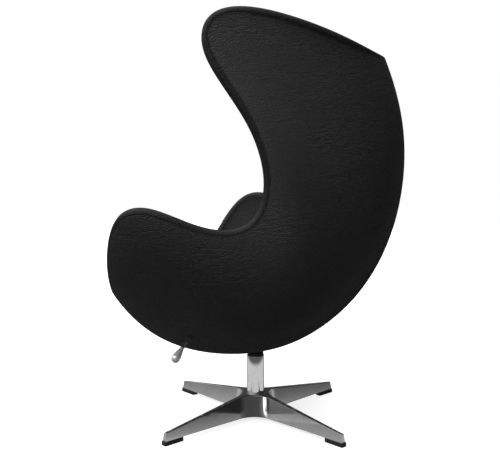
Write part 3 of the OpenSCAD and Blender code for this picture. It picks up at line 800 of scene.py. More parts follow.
@dataclass(frozen=True)
class EggSurface:
    """The shell's outer face over a unit disc: a runs from the top (-1) to the front lip (1), b to the left.

    The rim and the middle line are uniform cubic B-splines, mirrored in the chair's middle plane. Across,
    each rib is a cubic Bezier from the middle line to the rim: reach is how far its third point lies in from
    the rim, and spread how far its second point lies out from the middle line.
    """

    rim: Array = field(default_factory=lambda: MM * np.array([
        [0, -390, 355], [140, -385, 360], [255, -365, 380], [335, -340, 440], [390, -310, 530],
        [440, -255, 620], [445, -155, 640], [385, -25, 570], [325, 80, 575], [312, 110, 705],
        [325, 45, 880], [340, -75, 1020], [325, -60, 1132], [280, 61, 1147], [173, 263, 1069],
        [0, 367, 1022]], float))
    spine_middle: Array = field(default_factory=lambda: MM * np.array([
        [-405, 255], [-215, 160], [140, 210], [366, 488], [415, 851]], float))
    reach: Array = field(default_factory=lambda: MM * np.array([
        [45, 0, 85], [12, 0, 155], [5, -25, 170], [10, -65, 140], [20, -105, 90], [37, -115, 50],
        [60, -80, 30]], float))
    spread: Array = field(default_factory=lambda: MM * np.array([
        [150], [225], [280], [315], [320], [290], [220]], float))

    @staticmethod
    def _along(net: Array, t: Array, parity: Sequence[float]) -> Array:
        """A uniform cubic B-spline over 0 to 1 whose net is mirrored at both ends.

        Args:
            net: control points.
            t: where to evaluate it.
            parity: the mirror's sign for each coordinate.

        Returns:
            Points on the curve.
        """
        ghosts = np.vstack([net[1] * parity, net, net[-2] * parity])
        spans = len(net) - 1
        s = np.clip(t, 0, 1) * spans
        i = np.minimum(s.astype(int), spans - 1)
        f = (s - i)[..., None]
        return ((1 - f) ** 3 * ghosts[i] + (3 * f**3 - 6 * f**2 + 4) * ghosts[i + 1]
                + (-3 * f**3 + 3 * f**2 + 3 * f + 1) * ghosts[i + 2] + f**3 * ghosts[i + 3]) / 6

    def _spine(self) -> Array:
        """The middle line's net: its end points are set so that it meets the rim.

        Returns:
            The net's (y, z) points.
        """
        lip = (4 * self.rim[0, 1:] + 2 * self.rim[1, 1:]) / 6
        top = (4 * self.rim[-1, 1:] + 2 * self.rim[-2, 1:]) / 6
        first = (6 * lip - 2 * self.spine_middle[0]) / 4
        last = (6 * top - 2 * self.spine_middle[-1]) / 4
        return np.vstack([first, self.spine_middle, last])

    def point(self, a: Array, b: Array) -> Array:
        """Points of the outer face.

        Args:
            a: first disc coordinate.
            b: second disc coordinate.

        Returns:
            Points in metres.
        """
        half = np.sqrt(np.maximum(1 - a * a, 1e-9))
        side = np.clip(b / half, -1, 1)
        t = np.arccos(np.clip(a, -1, 1)) / math.pi
        k = np.sin(math.pi * t)[..., None]
        u = np.abs(side)[..., None]
        spine = self._along(self._spine(), t, (1, 1))
        rim = self._along(self.rim, t, (-1, 1, 1))
        foot = np.concatenate([np.zeros_like(k), spine], -1)
        spread = self._along(self.spread, t, (1,)) * k
        q1 = foot + np.concatenate([spread, np.zeros_like(spread), np.zeros_like(spread)], -1)
        q2 = rim - self._along(self.reach, t, (1, 1, 1)) * np.concatenate([k, k * k, k * k], -1)
        p = (1 - u) ** 3 * foot + 3 * (1 - u) ** 2 * u * q1 + 3 * (1 - u) * u * u * q2 + u**3 * rim
        p[..., 0] *= np.where(side < 0, -1, 1)
        return p

    def inward(self, a: Array, b: Array) -> Array:
        """Inward unit normals, from central differences a little inside the rim.

        Args:
            a: first disc coordinate.
            b: second disc coordinate.

        Returns:
            The normals.
        """
        step = 0.01
        pull = np.minimum(1, (1 - 1.6 * step) / np.maximum(np.hypot(a, b), step))
        a, b = a * pull, b * pull
        across = self.point(a, b + step) - self.point(a, b - step)
        along = self.point(a + step, b) - self.point(a - step, b)
        return unit(np.cross(along, across))

    def settled(self, target: Array, a: Array, b: Array, steps: int = 8) -> tuple[Array, Array]:
        """Disc points whose surface lies nearest to targets: Gauss-Newton steps kept inside the disc.

        Args:
            target: points near the surface.
            a: first disc coordinate to start from.
            b: second disc coordinate to start from.
            steps: number of steps.

        Returns:
            The disc coordinates.
        """
        e, limit = 0.004, 0.992
        for _ in range(steps):
            u = (self.point(a + e, b) - self.point(a - e, b)) / (2 * e)
            v = (self.point(a, b + e) - self.point(a, b - e)) / (2 * e)
            r = target - self.point(a, b)
            uu, uv, vv = (u * u).sum(-1), (u * v).sum(-1), (v * v).sum(-1)
            ru, rv = (r * u).sum(-1), (r * v).sum(-1)
            det = uu * vv - uv * uv
            a, b = a + (ru * vv - rv * uv) / det, b + (rv * uu - ru * uv) / det
            pull = np.minimum(1, limit / np.hypot(a, b))
            a, b = a * pull, b * pull
        return a, b


@dataclass
class Rim:
    """The shell's rim: disc points beside it, and a frame on each of its points.

    The edge points lie a set distance from the rim, square to it. The frame's outward direction runs from the
    edge point to the rim, and its normal runs in through the shell's thickness.
    """

    egg: EggSurface
    tau: Array
    away: float

    def __post_init__(self) -> None:
        """Finds the edge points and the frames."""
        tau, egg = self.tau, self.egg
        a, b = np.cos(tau), np.sin(tau)
        step = math.radians(1)
        self.point = egg.point(a, b)
        forward = unit(egg.point(np.cos(tau + step), np.sin(tau + step))
                       - egg.point(np.cos(tau - step), np.sin(tau - step)))
        sideways = unit(np.cross(forward, egg.inward(a, b)))
        self.edge = egg.settled(self.point - self.away * sideways, 0.97 * a, 0.97 * b)
        way = self.point - egg.point(*self.edge)
        self.outward = unit(way - (way * forward).sum(-1, keepdims=True) * forward)
        self.normal = np.cross(self.outward, forward)

    def ring(self, away: Array | float, depth: Array | float) -> Array:
        """Points at a distance from the rim along the surface, and a depth below it."""
        away, depth = np.asarray(away)[..., None], np.asarray(depth)[..., None]
        return self.point - away * self.outward + depth * self.normal

    def rings(self, share: Array, depth: float) -> Array:
        """Rings over the surface.

        Args:
            share: each ring's share of the way from the middle to the edge points.
            depth: depth below the outer face.

        Returns:
            The rings' points.
        """
        a, b = share[:, None] * self.edge[0], share[:, None] * self.edge[1]
        return self.egg.point(a, b) + depth * self.egg.inward(a, b)


@dataclass
class Upholstery:
    """The moulded shell in its leather: outer skin, padded inner skin and the piping in the rim's seam.

    The rolls are (distance, depth) points in millimetres by which each skin turns in beside the piping.
    """

    egg: EggSurface = field(default_factory=EggSurface)
    spokes: int = 384
    thickness: float = 30 * MM
    cover: float = 3 * MM
    core: float = 8 * MM
    piping: float = 2.2 * MM
    welt: float = 1.4 * MM
    welt_rise: float = 0.55 * MM
    roll_gap: float = 0.1 * MM
    outer_roll: Roll = ((0.7, 0.0), (0.42, 0.06), (0.2, 0.22), (0.05, 0.5), (0.0, 1.2), (0.0, 2.9))
    inner_roll: Roll = ((0.0, 2.4), (0.0, 1.4), (0.06, 0.7), (0.3, 0.28), (0.7, 0.1))
    core_edge: Roll = ((2.0, 0.0), (0.5, 0.05), (0.0, 0.3), (0.0, 0.7), (0.5, 0.95), (2.0, 1.0))
    layer_gap: float = 0.6 * MM
    edge_gap: float = 0.9 * MM
    floor_height: float = 335 * MM
    floor_slope: float = math.radians(4)
    floor_front: float = -334 * MM
    column_y: float = -40 * MM
    column_hole: float = 40 * MM
    hole_height: float = 240 * MM
    core_rings: int = 50
    skin_rings: int = 110
    lining_rings: int = 40
    back_rings: int = 30
    skin_end: float = 0.996
    lining_end: float = 0.997
    bowl_end: float = 0.998

    def __post_init__(self) -> None:
        """Works out the seam's place and the rim's frames."""
        self.nose = self.thickness / 2
        self.seam_away = self.nose + self.edge_gap + self.piping
        self.seam_depth = self.welt - self.welt_rise
        self.cover_away = self.seam_away + self.piping + self.edge_gap
        tau = np.linspace(0, 2 * math.pi, self.spokes, endpoint=False)
        self.rim = Rim(self.egg, tau, self.cover_away)

    def build(self) -> None:
        """Builds the shell, the two skins and the piping."""
        self.laminate()
        self.outer_leather()
        self.inner_leather()
        self.rim_welt()

    def _pole(self, depth: float) -> Array:
        """The surface's middle point at a depth."""
        zero = np.zeros(1)
        return (self.egg.point(zero, zero) + depth * self.egg.inward(zero, zero))[0]

    @staticmethod
    def _shares(count: int, last: float = 1.0) -> Array:
        """Ring positions, closer together near the edge."""
        t = np.linspace(1 / count, 1, count)
        return last * (t * (1.25 - 0.25 * t))

    def _opened(self, piece: bpy.types.Object) -> None:
        """Cuts the column's opening: a cylinder from the floor up.

        Args:
            piece: the closed mesh to open.
        """
        r, top = self.column_hole, self.hole_height
        profile = [(0, 0), (r, 0), (r, top), (0, top)]
        cut_away(piece, turned("column_opening", profile, (0, self.column_y, 0), UP, LEATHER))

    def laminate(self) -> None:
        """The moulded shell between the skins."""
        outer, inner = self.cover + self.layer_gap, self.cover + self.layer_gap + self.core
        edge = self.nose + 2 * self.edge_gap
        rim = [self.rim.ring(edge + away * MM, outer + share * self.core) for away, share in self.core_edge]
        shares = self._shares(self.core_rings)
        rings = np.concatenate([self.rim.rings(shares, outer), np.array(rim),
                                self.rim.rings(shares, inner)[::-1]])
        points, faces = capped_grid(rings, self._pole(outer), self._pole(inner))
        piece = new_piece("moulded_shell", points, faces, LAMINATE, 60)
        self._opened(piece)
        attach(piece, "seat")
        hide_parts("shell_core")
        LOG.info("moulded shell: %d faces", len(piece.data.polygons))

    def outer_leather(self) -> None:
        """The outer leather: the egg surface, rolled in beside the piping, open round the column."""
        edge = self.seam_away + self.welt + self.roll_gap
        rolled = [self.rim.ring(edge + away * MM, depth * MM) for away, depth in self.outer_roll]
        skin = self.rim.rings(self._shares(self.skin_rings, self.skin_end), 0.0)
        lining = self.rim.rings(self._shares(self.lining_rings, self.lining_end), self.cover)
        rings = np.concatenate([skin, np.array(rolled), lining[::-1]])
        points, faces = capped_grid(rings, self._pole(0.0), self._pole(self.cover))
        piece = new_piece("outer_leather", points, faces, PANEL_LEATHER, 60)
        self._opened(piece)
        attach(piece, "seat")
        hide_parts("outer_cover")
        LOG.info("outer leather: %d faces", len(piece.data.polygons))

    def floored(self, p: Array, width: float = 12 * MM) -> Array:
        """Lifts points to the sloping seat floor, by a smooth maximum of their height and the floor's.

        Args:
            p: points in metres.
            width: the height over which the edge is rounded.

        Returns:
            The lifted points.
        """
        floor = self.floor_height - 1.0 * MM - (p[..., 1] - self.floor_front) * math.tan(self.floor_slope)
        z = p[..., 2]
        h = np.clip(0.5 + 0.5 * (z - floor) / width, 0, 1)
        out = p.copy()
        out[..., 2] = h * z + (1 - h) * floor + width * h * (1 - h)
        return out

    def inner_leather(self) -> None:
        """The padding in its leather: a half-round nose at the rim, then the bowl and the seat floor."""
        back_depth = self.cover + self.core + 2 * self.layer_gap + 0.4 * MM
        back = [self.rim.ring(self.nose + self.roll_gap, d * MM) for d in (11.0, 6.0, 2.6)]
        edge = self.seam_away - self.welt - self.roll_gap
        rolled = [self.rim.ring(edge - away * MM, depth * MM) for away, depth in self.inner_roll]
        nose = [self.rim.ring(self.nose * (1 - math.sin(t)), self.nose * (1 - math.cos(t)))
                for t in np.radians(np.linspace(3, 180, 26))]
        behind = self.rim.rings(self._shares(self.back_rings), back_depth)
        bowl = self.floored(self.rim.rings(self._shares(self.skin_rings, self.bowl_end), self.thickness))
        rings = np.concatenate([behind, np.array(back + rolled + nose), bowl[::-1]])
        points, faces = capped_grid(rings, self._pole(back_depth),
                                    self.floored(self._pole(self.thickness)[None])[0])
        # The inner skin takes the darker, less shiny leather copy, whose darkness is painted shade.
        piece = new_piece("inner_leather", points, faces, INNER_LEATHER_PAINTED_SHADE, 60)
        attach(piece, "seat")
        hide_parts("inner_padding")
        LOG.info("inner leather: %d faces", len(piece.data.polygons))

    def rim_welt(self) -> None:
        """The leather piping in the seam between the two skins."""
        piece = tube_along("rim_welt", self.rim.ring(self.seam_away, self.seam_depth), self.welt, LEATHER)
        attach(piece, "seat")
        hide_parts("rim_piping")
        LOG.info("rim welt: %d faces", len(piece.data.polygons))


@dataclass
class SeatCushion:
    """The loose seat cushion: a crowned rounded square that fills the bowl, with swelling sides.

    section holds the sides as shares of swell and height, and table the top as (metres in from the edge,
    share of the crown).
    """

    half_width: float = 184 * MM
    front: float = -334 * MM
    back: float = 94 * MM
    middle: float = -120 * MM
    height: float = 76 * MM
    crown: float = 14 * MM
    swell: float = 86 * MM
    power: float = 0.72
    taper: float = 0.06
    front_growth: float = 0.12
    rear_growth: float = 0.62
    floor_height: float = 335.3 * MM
    slope: float = math.radians(4)
    welt: float = 2.6 * MM
    shrink: float = 4 * MM
    section: Array = field(default_factory=lambda: np.array([
        (0.0, 0.0), (0.14, 0.035), (0.3, 0.085), (0.46, 0.14), (0.62, 0.215), (0.76, 0.305), (0.88, 0.4),
        (0.965, 0.5), (0.985, 0.58), (0.98, 0.66), (0.94, 0.75), (0.86, 0.83), (0.74, 0.9), (0.58, 0.95),
        (0.38, 0.985), (0.14, 1.02)]))
    table: Array = field(default_factory=lambda: np.array([
        (0.02, 0.34), (0.05, 0.5), (0.08, 0.68), (0.11, 0.84)]))
    turned_in: Roll = ((-0.06, 0.0), (-0.02, 0.0))
    body_points: int = 160
    welt_lines: tuple[tuple[str, float, float], ...] = (("cushion_welt_top", 0.8, 0.87),
                                                        ("cushion_welt_bottom", 0.68, 0.25))
    welt_points: int = 240
    welt_passes: int = 6
    welt_sides: int = 10

    def _plan(self, phi: Array, grow: Array | float) -> tuple[Array, Array]:
        """A rounded square, narrower behind, grown outwards: signed powers of cosine and sine.

        Args:
            phi: the direction from the middle, in radians.
            grow: how far outside the foot's plan.

        Returns:
            x and y.
        """
        c, s = np.cos(phi), np.sin(phi)
        growth = np.where(s < 0, self.front_growth, self.rear_growth)
        lengthwise = np.where(np.asarray(grow) < 0, grow, grow * growth)
        reach = np.where(s < 0, self.middle - self.front, self.back - self.middle)
        x = np.sign(c) * np.abs(c) ** self.power * (self.half_width + grow)
        y = np.sign(s) * np.abs(s) ** self.power * (reach + lengthwise)
        return x * (1 - self.taper * (1 + y / reach)), self.middle + y

    def _tilt(self, p: Array) -> Array:
        """Puts points from the cushion's own plane on the sloping seat floor, by a turn about its front edge.

        Args:
            p: points with their height over the floor.

        Returns:
            The points in the part's frame.
        """
        c, s = math.cos(self.slope), math.sin(self.slope)
        y, z = p[..., 1] - self.front, p[..., 2]
        return np.stack([p[..., 0], self.front + y * c + z * s, self.floor_height - y * s + z * c], -1)

    def _loop(self, grow: float, z: float, count: int) -> Array:
        """A closed line round the cushion.

        Args:
            grow: its distance outside the foot's plan.
            z: its height over the seat floor.
            count: number of points.

        Returns:
            The points, on the sloping floor.
        """
        x, y = self._plan(np.linspace(0, 2 * math.pi, count, endpoint=False), grow)
        return self._tilt(np.stack([x, y, np.full_like(x, z)], -1))

    def body(self) -> bpy.types.Object:
        """The cushion before it is filled, a little smaller than its solid.

        Returns:
            The new object.
        """
        tall = self.height + self.crown
        sides = [(g * self.swell, z * self.height) for g, z in self.section]
        top = [(-away, self.height + rise * self.crown) for away, rise in self.table]
        scale = 1 - self.shrink / tall
        rings = np.array([self._loop(g - self.shrink, self.shrink / 2 + z * scale, self.body_points)
                          for g, z in list(self.turned_in) + sides + top])
        low, high = (self._tilt(np.array([0, self.middle, self.shrink / 2 + z * scale])) for z in (0.0, tall))
        points, faces = capped_grid(rings, low, high)
        return new_piece("seat_cushion_cover", points, faces, LEATHER, 80)

    def build(self) -> None:
        """Fills the cushion by simulation, and pipes its edges."""
        piece = self.body()
        puff(piece, voxel=6 * MM, pressure=4.0, cap=7 * MM)
        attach(piece, "seat")
        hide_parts("seat_cushion")
        LOG.info("seat cushion: %d faces", len(piece.data.polygons))
        for name, share, level in self.welt_lines:
            self.pipe(piece, name, self._loop(share * self.swell, level * self.height, self.welt_points))

    def pipe(self, cushion: bpy.types.Object, name: str, seam: Array) -> None:
        """Piping on the filled cover: the seam's points go to the cover's nearest vertices and are smoothed.

        Args:
            cushion: the filled cushion.
            name: the piping's name.
            seam: the seam's line on the cushion's solid.
        """
        cover = vertices(cushion.data)
        cover = cover[np.abs(cover[:, 2] - seam[:, 2].mean()) < np.ptp(seam[:, 2])]
        distance = ((seam[:, None] - cover[None]) ** 2).sum(-1)
        path = cover[distance.argmin(1)]
        for _ in range(self.welt_passes):
            path = (np.roll(path, 1, 0) + 2 * path + np.roll(path, -1, 0)) / 4
        piece = tube_along(name, path, self.welt, LEATHER, self.welt_sides)
        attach(piece, "seat")
        LOG.info("%s: %d faces", name, len(piece.data.polygons))


def vertices(mesh: bpy.types.Mesh) -> Array:
    """A mesh's vertices.

    Args:
        mesh: the mesh.

    Returns:
        n by 3 points.
    """
    flat = np.zeros(len(mesh.vertices) * 3)
    mesh.vertices.foreach_get("co", flat)
    return flat.reshape(-1, 3)


def puff(piece: bpy.types.Object, voxel: float, pressure: float, cap: float) -> None:
    """Fills a closed cover: it is remeshed evenly, blown up as cloth, its moves are capped and it is refined.

    Args:
        piece: a closed mesh, changed in place.
        voxel: size of the even faces, in metres.
        pressure: the filling's pressure.
        cap: the furthest that a point may move, in metres.
    """
    scene = bpy.context.scene
    remesh = piece.modifiers.new("even", "REMESH")
    remesh.mode = "VOXEL"
    remesh.voxel_size = voxel
    piece.data = baked(piece)
    start = vertices(piece.data)
    cloth = piece.modifiers.new("cloth", "CLOTH")
    settings = cloth.settings
    settings.quality = 6
    settings.mass = 0.4
    settings.tension_stiffness = 12
    settings.compression_stiffness = 12
    settings.shear_stiffness = 5
    settings.bending_stiffness = 2.0
    settings.use_pressure = True
    settings.uniform_pressure_force = pressure
    settings.effector_weights.gravity = 0.0
    cloth.collision_settings.use_collision = False
    cloth.collision_settings.use_self_collision = False
    for frame in range(1, 21):
        scene.frame_set(frame)
    blown = baked(piece)
    move = vertices(blown) - start
    length = np.linalg.norm(move, axis=1, keepdims=True)
    move *= cap * np.tanh(length / cap) / np.maximum(length, 1e-9)
    blown.vertices.foreach_set("co", (start + move).ravel())
    piece.data = blown
    refine = piece.modifiers.new("refine", "SUBSURF")
    refine.levels = 1
    refine.render_levels = 1
    piece.data = baked(piece)
    scene.frame_set(1)
    if not piece.data.materials:
        piece.data.materials.append(LEATHER.material())
    smoothed(piece, 80)


# Base, column and lever


@dataclass
class StarBase:
    """The four-legged cast star: drawn-in sides, a flat ridge on each leg and hollow fillets between legs."""

    column: tuple[float, float] = (0.0, -40 * MM)
    turn: float = math.radians(64)
    reach: float = 330 * MM
    tip_width: float = 14 * MM
    root_width: float = 34 * MM
    fillet: float = 60 * MM
    bottom: float = 11 * MM
    tip_top: float = 32 * MM
    hub_top: float = 72 * MM
    hub_flat: float = 38 * MM
    draft: float = math.tan(math.radians(7.0))
    edge: float = 1.3 * MM
    mouth: float = 25.3 * MM
    base_inset: float = 0.4 * MM
    hub_reach: float = 31 * MM
    legs_start: tuple[float, float] = (44 * MM, 80 * MM)
    bore_drops: tuple[float, float] = (0.6 * MM, 30 * MM)
    wall_levels: tuple[float, ...] = (0.01, 0.02, 0.04, 0.10, 0.3, 0.5, 0.7, 0.9, 0.96, 0.98, 0.99, 1.0)
    ridge_shares: tuple[float, ...] = (0.35, 0.7, 1.0)
    hub_shares: tuple[float, ...] = (0.25, 0.5, 0.75, 1.0)
    n_end: int = 6
    n_leg: int = 36
    n_arc: int = 31
    pad_size: tuple[float, float] = (62 * MM, 20 * MM)
    pad_corner: float = 5 * MM
    pad_past: float = 4 * MM
    pad_section: Roll = ((1.2, 0.0), (0.3, 0.25), (0.0, 1.0), (0.0, 8.6), (0.25, 9.7), (0.9, 10.5),
                         (1.8, 10.9), (3.0, 11.0))

    @property
    def count(self) -> int:
        """Points in a quarter of the outline."""
        return 2 * (self.n_end + self.n_leg) + self.n_arc - 1

    def top(self, r: Array) -> Array:
        """Height of the ridge at a distance from the axis."""
        slope = (self.hub_top - self.tip_top) / (self.reach - self.hub_flat)
        return self.hub_top - slope * np.maximum(r - self.hub_flat, 0)

    def outline(self, inset: Array | float) -> Array:
        """One quarter of the plan outline, drawn in by a distance, from one leg's middle to the next leg's.

        The end and the side are straight lines, and an arc of the fillet's radius joins the two legs. The
        first half is worked out, and the second is its mirror image in the diagonal.

        Args:
            inset: the distance, one number or one for each point.

        Returns:
            n by 2 points, the same number whatever the inset.
        """
        inset = np.broadcast_to(inset, (self.count,)) if np.ndim(inset) else np.full(self.count, float(inset))
        t = (self.root_width - self.tip_width) / 2 / self.reach
        delta = math.atan(t)
        tip = self.reach - inset
        half_tip = self.tip_width / 2
        radius = self.fillet + inset
        centre = (self.fillet / math.cos(delta) + half_tip + self.reach * t) / (1 + t)
        n_end, n_leg, n_arc = self.n_end, self.n_leg, self.n_arc
        points = np.zeros((self.count, 2))
        k = slice(0, n_end)
        side = half_tip + t * inset[k] - inset[k] / math.cos(delta)
        points[k] = np.stack([tip[k], side * np.linspace(0, 1, n_end, endpoint=False)], -1)
        k = slice(n_end, n_end + n_leg)
        stop_x = centre - radius[k] * math.sin(delta)
        x = tip[k] + (stop_x - tip[k]) * np.linspace(0, 1, n_leg)
        points[k] = np.stack([x, half_tip + t * (self.reach - x) - inset[k] / math.cos(delta)], -1)
        k = slice(n_end + n_leg, n_end + n_leg + n_arc)
        angle = np.radians(np.linspace(270 - math.degrees(delta), 180 + math.degrees(delta), n_arc + 2)[1:-1])
        points[k] = centre + radius[k, None] * np.stack([np.cos(angle), np.sin(angle)], -1)
        half = n_end + n_leg + n_arc // 2 + 1
        mirrored = points[:half][::-1][1:, ::-1]
        points[half:] = mirrored[: self.count - half]
        return points

    def _around(self, quarter: Array) -> Array:
        """Four turned copies of a quarter, with height kept.

        Args:
            quarter: n by 3 points.

        Returns:
            4 n by 3 points.
        """
        copies = []
        for i in range(4):
            c, s = math.cos(i * math.pi / 2), math.sin(i * math.pi / 2)
            copies.append(np.stack([quarter[:, 0] * c - quarter[:, 1] * s,
                                    quarter[:, 0] * s + quarter[:, 1] * c, quarter[:, 2]], -1))
        return np.concatenate(copies)

    def _ring(self, level: float, extra: float, drop: float) -> Array:
        """A ring on the side wall or its rounded edge.

        Args:
            level: share of the wall's height.
            extra: more inset, for the rounded edge.
            drop: distance below the ridge's height, for the rounded edge.

        Returns:
            Quarter ring with heights.
        """
        flat = self.outline(0.0)
        height = self.top(np.hypot(flat[:, 0], flat[:, 1])) - self.edge
        z = self.bottom + (height - self.bottom) * level
        inset = (z - self.bottom) * self.draft + extra
        plan = self.outline(inset)
        return np.stack([plan[:, 0], plan[:, 1], z + (self.edge - drop if extra > 0 or drop > 0 else 0)], -1)

    def on_top(self, p: Array) -> Array:
        """Plan points put at the ridge's height."""
        return np.stack([p[:, 0], p[:, 1], self.top(np.hypot(p[:, 0], p[:, 1]))], -1)

    def mesh_rings(self) -> Array:
        """All rings: up the wall from its foot, over the edge, across the ridge and into the hub's mouth.

        Returns:
            Quarter rings, from the outside of the foot to the inside of the mouth.
        """
        low = self.outline(self.base_inset)
        rings = [np.stack([low[:, 0], low[:, 1], np.full(len(low), self.bottom)], -1)]
        rings += [self._ring(level, 0.0, 0.0) for level in self.wall_levels]
        rings += [self._ring(1.0, self.edge * (1 - math.cos(t)), self.edge * (1 - math.sin(t)))
                  for t in np.radians((22.5, 45.0, 67.5, 90.0))]
        last = rings[-1]
        skeleton = self._skeleton(last)
        rings += [self.on_top(last[:, :2] + (skeleton - last[:, :2]) * share) for share in self.ridge_shares]
        target = skeleton / np.hypot(skeleton[:, 0], skeleton[:, 1])[:, None] * self.mouth
        rings += [self.on_top(skeleton + (target - skeleton) * share) for share in self.hub_shares]
        rim = rings[-1]
        rings += [rim - np.array([0.0, 0.0, drop]) for drop in self.bore_drops]
        return np.array(rings)

    def _skeleton(self, ring: Array) -> Array:
        """Where the ridge's points meet: the leg's middle line, or near the hub's mouth between two legs.

        Args:
            ring: the ridge's outermost ring.

        Returns:
            n by 2 points.
        """
        angle = np.arctan2(ring[:, 1], ring[:, 0])
        r = np.hypot(ring[:, 0], ring[:, 1])
        leg_x = np.where(angle < math.pi / 4, ring[:, 0], 0)
        leg_y = np.where(angle < math.pi / 4, 0, ring[:, 1])
        near, far = self.legs_start
        share = np.clip((r - near) / (far - near), 0, 1)[:, None]
        share = share * share * (3 - 2 * share)
        hub = ring[:, :2] / r[:, None] * np.minimum(r, self.hub_reach)[:, None]
        return share * np.stack([leg_x, leg_y], -1) + (1 - share) * hub

    def _placed(self, p: Array, turn: float) -> Array:
        """Points turned about the column's axis and put on it.

        Args:
            p: points about the origin.
            turn: the angle, in radians.

        Returns:
            The points in the part's frame.
        """
        c, s = math.cos(turn), math.sin(turn)
        x = p[..., 0] * c - p[..., 1] * s + self.column[0]
        y = p[..., 0] * s + p[..., 1] * c + self.column[1]
        return np.stack([x, y, p[..., 2]], -1)

    def build(self) -> None:
        """Builds the star from its rings and the four pads below it."""
        full = self._placed(np.array([self._around(r) for r in self.mesh_rings()]), self.turn)
        points, faces = capped_grid(full, np.array([*self.column, self.bottom]), None)
        piece = new_piece("cast_star", points, faces, ALUMINIUM, 40)
        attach(piece, "base")
        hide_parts("star_base")
        LOG.info("cast star: %d faces", len(piece.data.polygons))
        for index in range(4):
            self.pad(index)

    def pad(self, index: int) -> None:
        """A rubber pad: a rounded rectangle with rounded upper edges, under a leg's end.

        Args:
            index: which leg, from 0.
        """
        length, width = self.pad_size
        centre = self.reach + self.pad_past - length / 2
        quarter = np.radians(np.linspace(0, 90, 9))
        rings = []
        for inset, z in self.pad_section:
            r = max(self.pad_corner - inset * MM, 1 * MM)
            ring = []
            for q, (sx, sy) in enumerate(((1, 1), (-1, 1), (-1, -1), (1, -1))):
                cx = centre + sx * (length / 2 - self.pad_corner)
                cy = sy * (width / 2 - self.pad_corner)
                angle = quarter + q * math.pi / 2
                ring.append(np.stack([cx + r * np.cos(angle), cy + r * np.sin(angle),
                                      np.full_like(angle, z * MM)], -1))
            rings.append(np.concatenate(ring))
        turn = self.turn + index * math.pi / 2
        low, high = (self._placed(np.array([centre, 0.0, z * MM]), turn)
                     for z in (self.pad_section[0][1], self.pad_section[-1][1]))
        points, faces = capped_grid(self._placed(np.array(rings), turn), low, high)
        piece = new_piece(f"rubber_pad_{index + 1}", points, faces, PAD_RUBBER, 40)
        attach(piece, "base")
        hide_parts(f"foot_pad_{index + 1}")
        LOG.info("rubber pad %d: %d faces", index + 1, len(piece.data.polygons))


@dataclass
class Column:
    """The chromed column tube and the black guide bush in its mouth, both turned profiles about the axis."""

    axis: tuple[float, float, float] = (0.0, -40 * MM, 0.0)
    radius: float = 25 * MM
    inner: float = 23.05 * MM
    edge: float = 0.8 * MM
    foot: float = 20 * MM
    floor: float = 4 * MM
    floor_hole: float = 4.5 * MM
    top: float = 178 * MM
    lip: float = 8 * MM
    lip_step: float = 1.5 * MM
    lip_corner: float = 1 * MM
    lip_lift: float = 0.02 * MM
    bush_clearance: float = 0.1 * MM
    bush_length: float = 38 * MM
    rod: float = 14.1 * MM

    def build(self) -> None:
        """Builds both turned pieces."""
        r, edge, top, foot = self.radius, self.edge, self.top, self.foot
        outside = [(r, foot), (r, foot + 0.5 * (top - foot)), (r, top - edge)]
        rounded = arc((r - edge, top - edge), edge, 15, 90, 5)
        inside = [(self.inner, top), (self.inner, foot + self.floor), (self.floor_hole, foot + self.floor),
                  (self.floor_hole, foot)]
        tube = turned("chromed_column", outside + rounded + inside, self.axis, UP, CHROME, 128, True)
        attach(tube, "base")
        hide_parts("column_tube")
        LOG.info("column: %d faces", len(tube.data.polygons))
        lip_r, body_r, corner = r - self.lip_step, self.inner - self.bush_clearance, self.lip_corner
        ring = [(body_r, top - self.bush_length), (body_r, top + self.lip_lift), (lip_r, top + self.lip_lift)]
        ring += arc((lip_r - corner, top + self.lip - corner), corner, 0, 90, 5)
        ring += [(self.rod, top + self.lip), (self.rod, top - self.bush_length)]
        bush = turned("guide_ring", ring, self.axis, UP, BLACK_PLASTIC, 96, True)
        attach(bush, "base")
        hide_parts("guide_bush")
        LOG.info("guide ring: %d faces", len(bush.data.polygons))


@dataclass
class ReleaseLever:
    """The visible end of the release lever: collar and teardrop grip.

    The grip's radius grows from the neck by a power of a sine, and a half sphere closes it.
    """

    eye: tuple[float, float] = (0.4014, 0.3193)
    hang: tuple[float, float, float] = (0.83, -0.107, -0.55)
    out: float = 42 * MM
    rod: float = 4 * MM
    collar_wall: float = 1.5 * MM
    collar_length: float = 5 * MM
    collar_edge: float = 0.5 * MM
    neck: float = 5.3 * MM
    neck_edge: tuple[float, float] = (4.9 * MM, 0.2 * MM)
    grip_length: float = 48 * MM
    grip_radius: float = 11.5 * MM
    grip_swell: float = 1.25

    def build(self, egg: EggSurface) -> None:
        """Builds the pieces.

        Args:
            egg: the shell's surface, which sets the lever's place.
        """
        a, b = np.array([self.eye[0]]), np.array([self.eye[1]])
        hang = unit(np.array(self.hang))
        end = egg.point(a, b)[0] + self.out * hang
        r, long, bevel = self.rod + self.collar_wall, self.collar_length, self.collar_edge
        collar = turned("lever_ferrule", [(self.rod, -long), (r - bevel, -long), (r, bevel - long), (r, 0),
                                          (self.rod, 0)], end, hang, BLACK_PLASTIC, 48, True)
        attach(collar, "lever")
        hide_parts("lever_collar")
        LOG.info("lever ferrule: %d faces", len(collar.data.polygons))
        g, length = self.grip_radius, self.grip_length
        edge_r, edge_z = self.neck_edge
        t = np.linspace(0, 1, 14)
        swell = self.neck + (g - self.neck) * np.sin(t * math.pi / 2) ** self.grip_swell
        sides = list(zip(swell, edge_z + t * (length - g - edge_z)))
        dome = arc((0.0, length - g), g, 0, 90, 14)[1:]
        grip = turned("lever_handle", [(0.0, 0.0), (edge_r, 0.0)] + sides + dome, end, hang, SATIN_CHROME, 64,
                      False, 45)
        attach(grip, "lever")
        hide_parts("lever_grip")
        LOG.info("lever grip: %d faces", len(grip.data.polygons))


# Carried-over parts


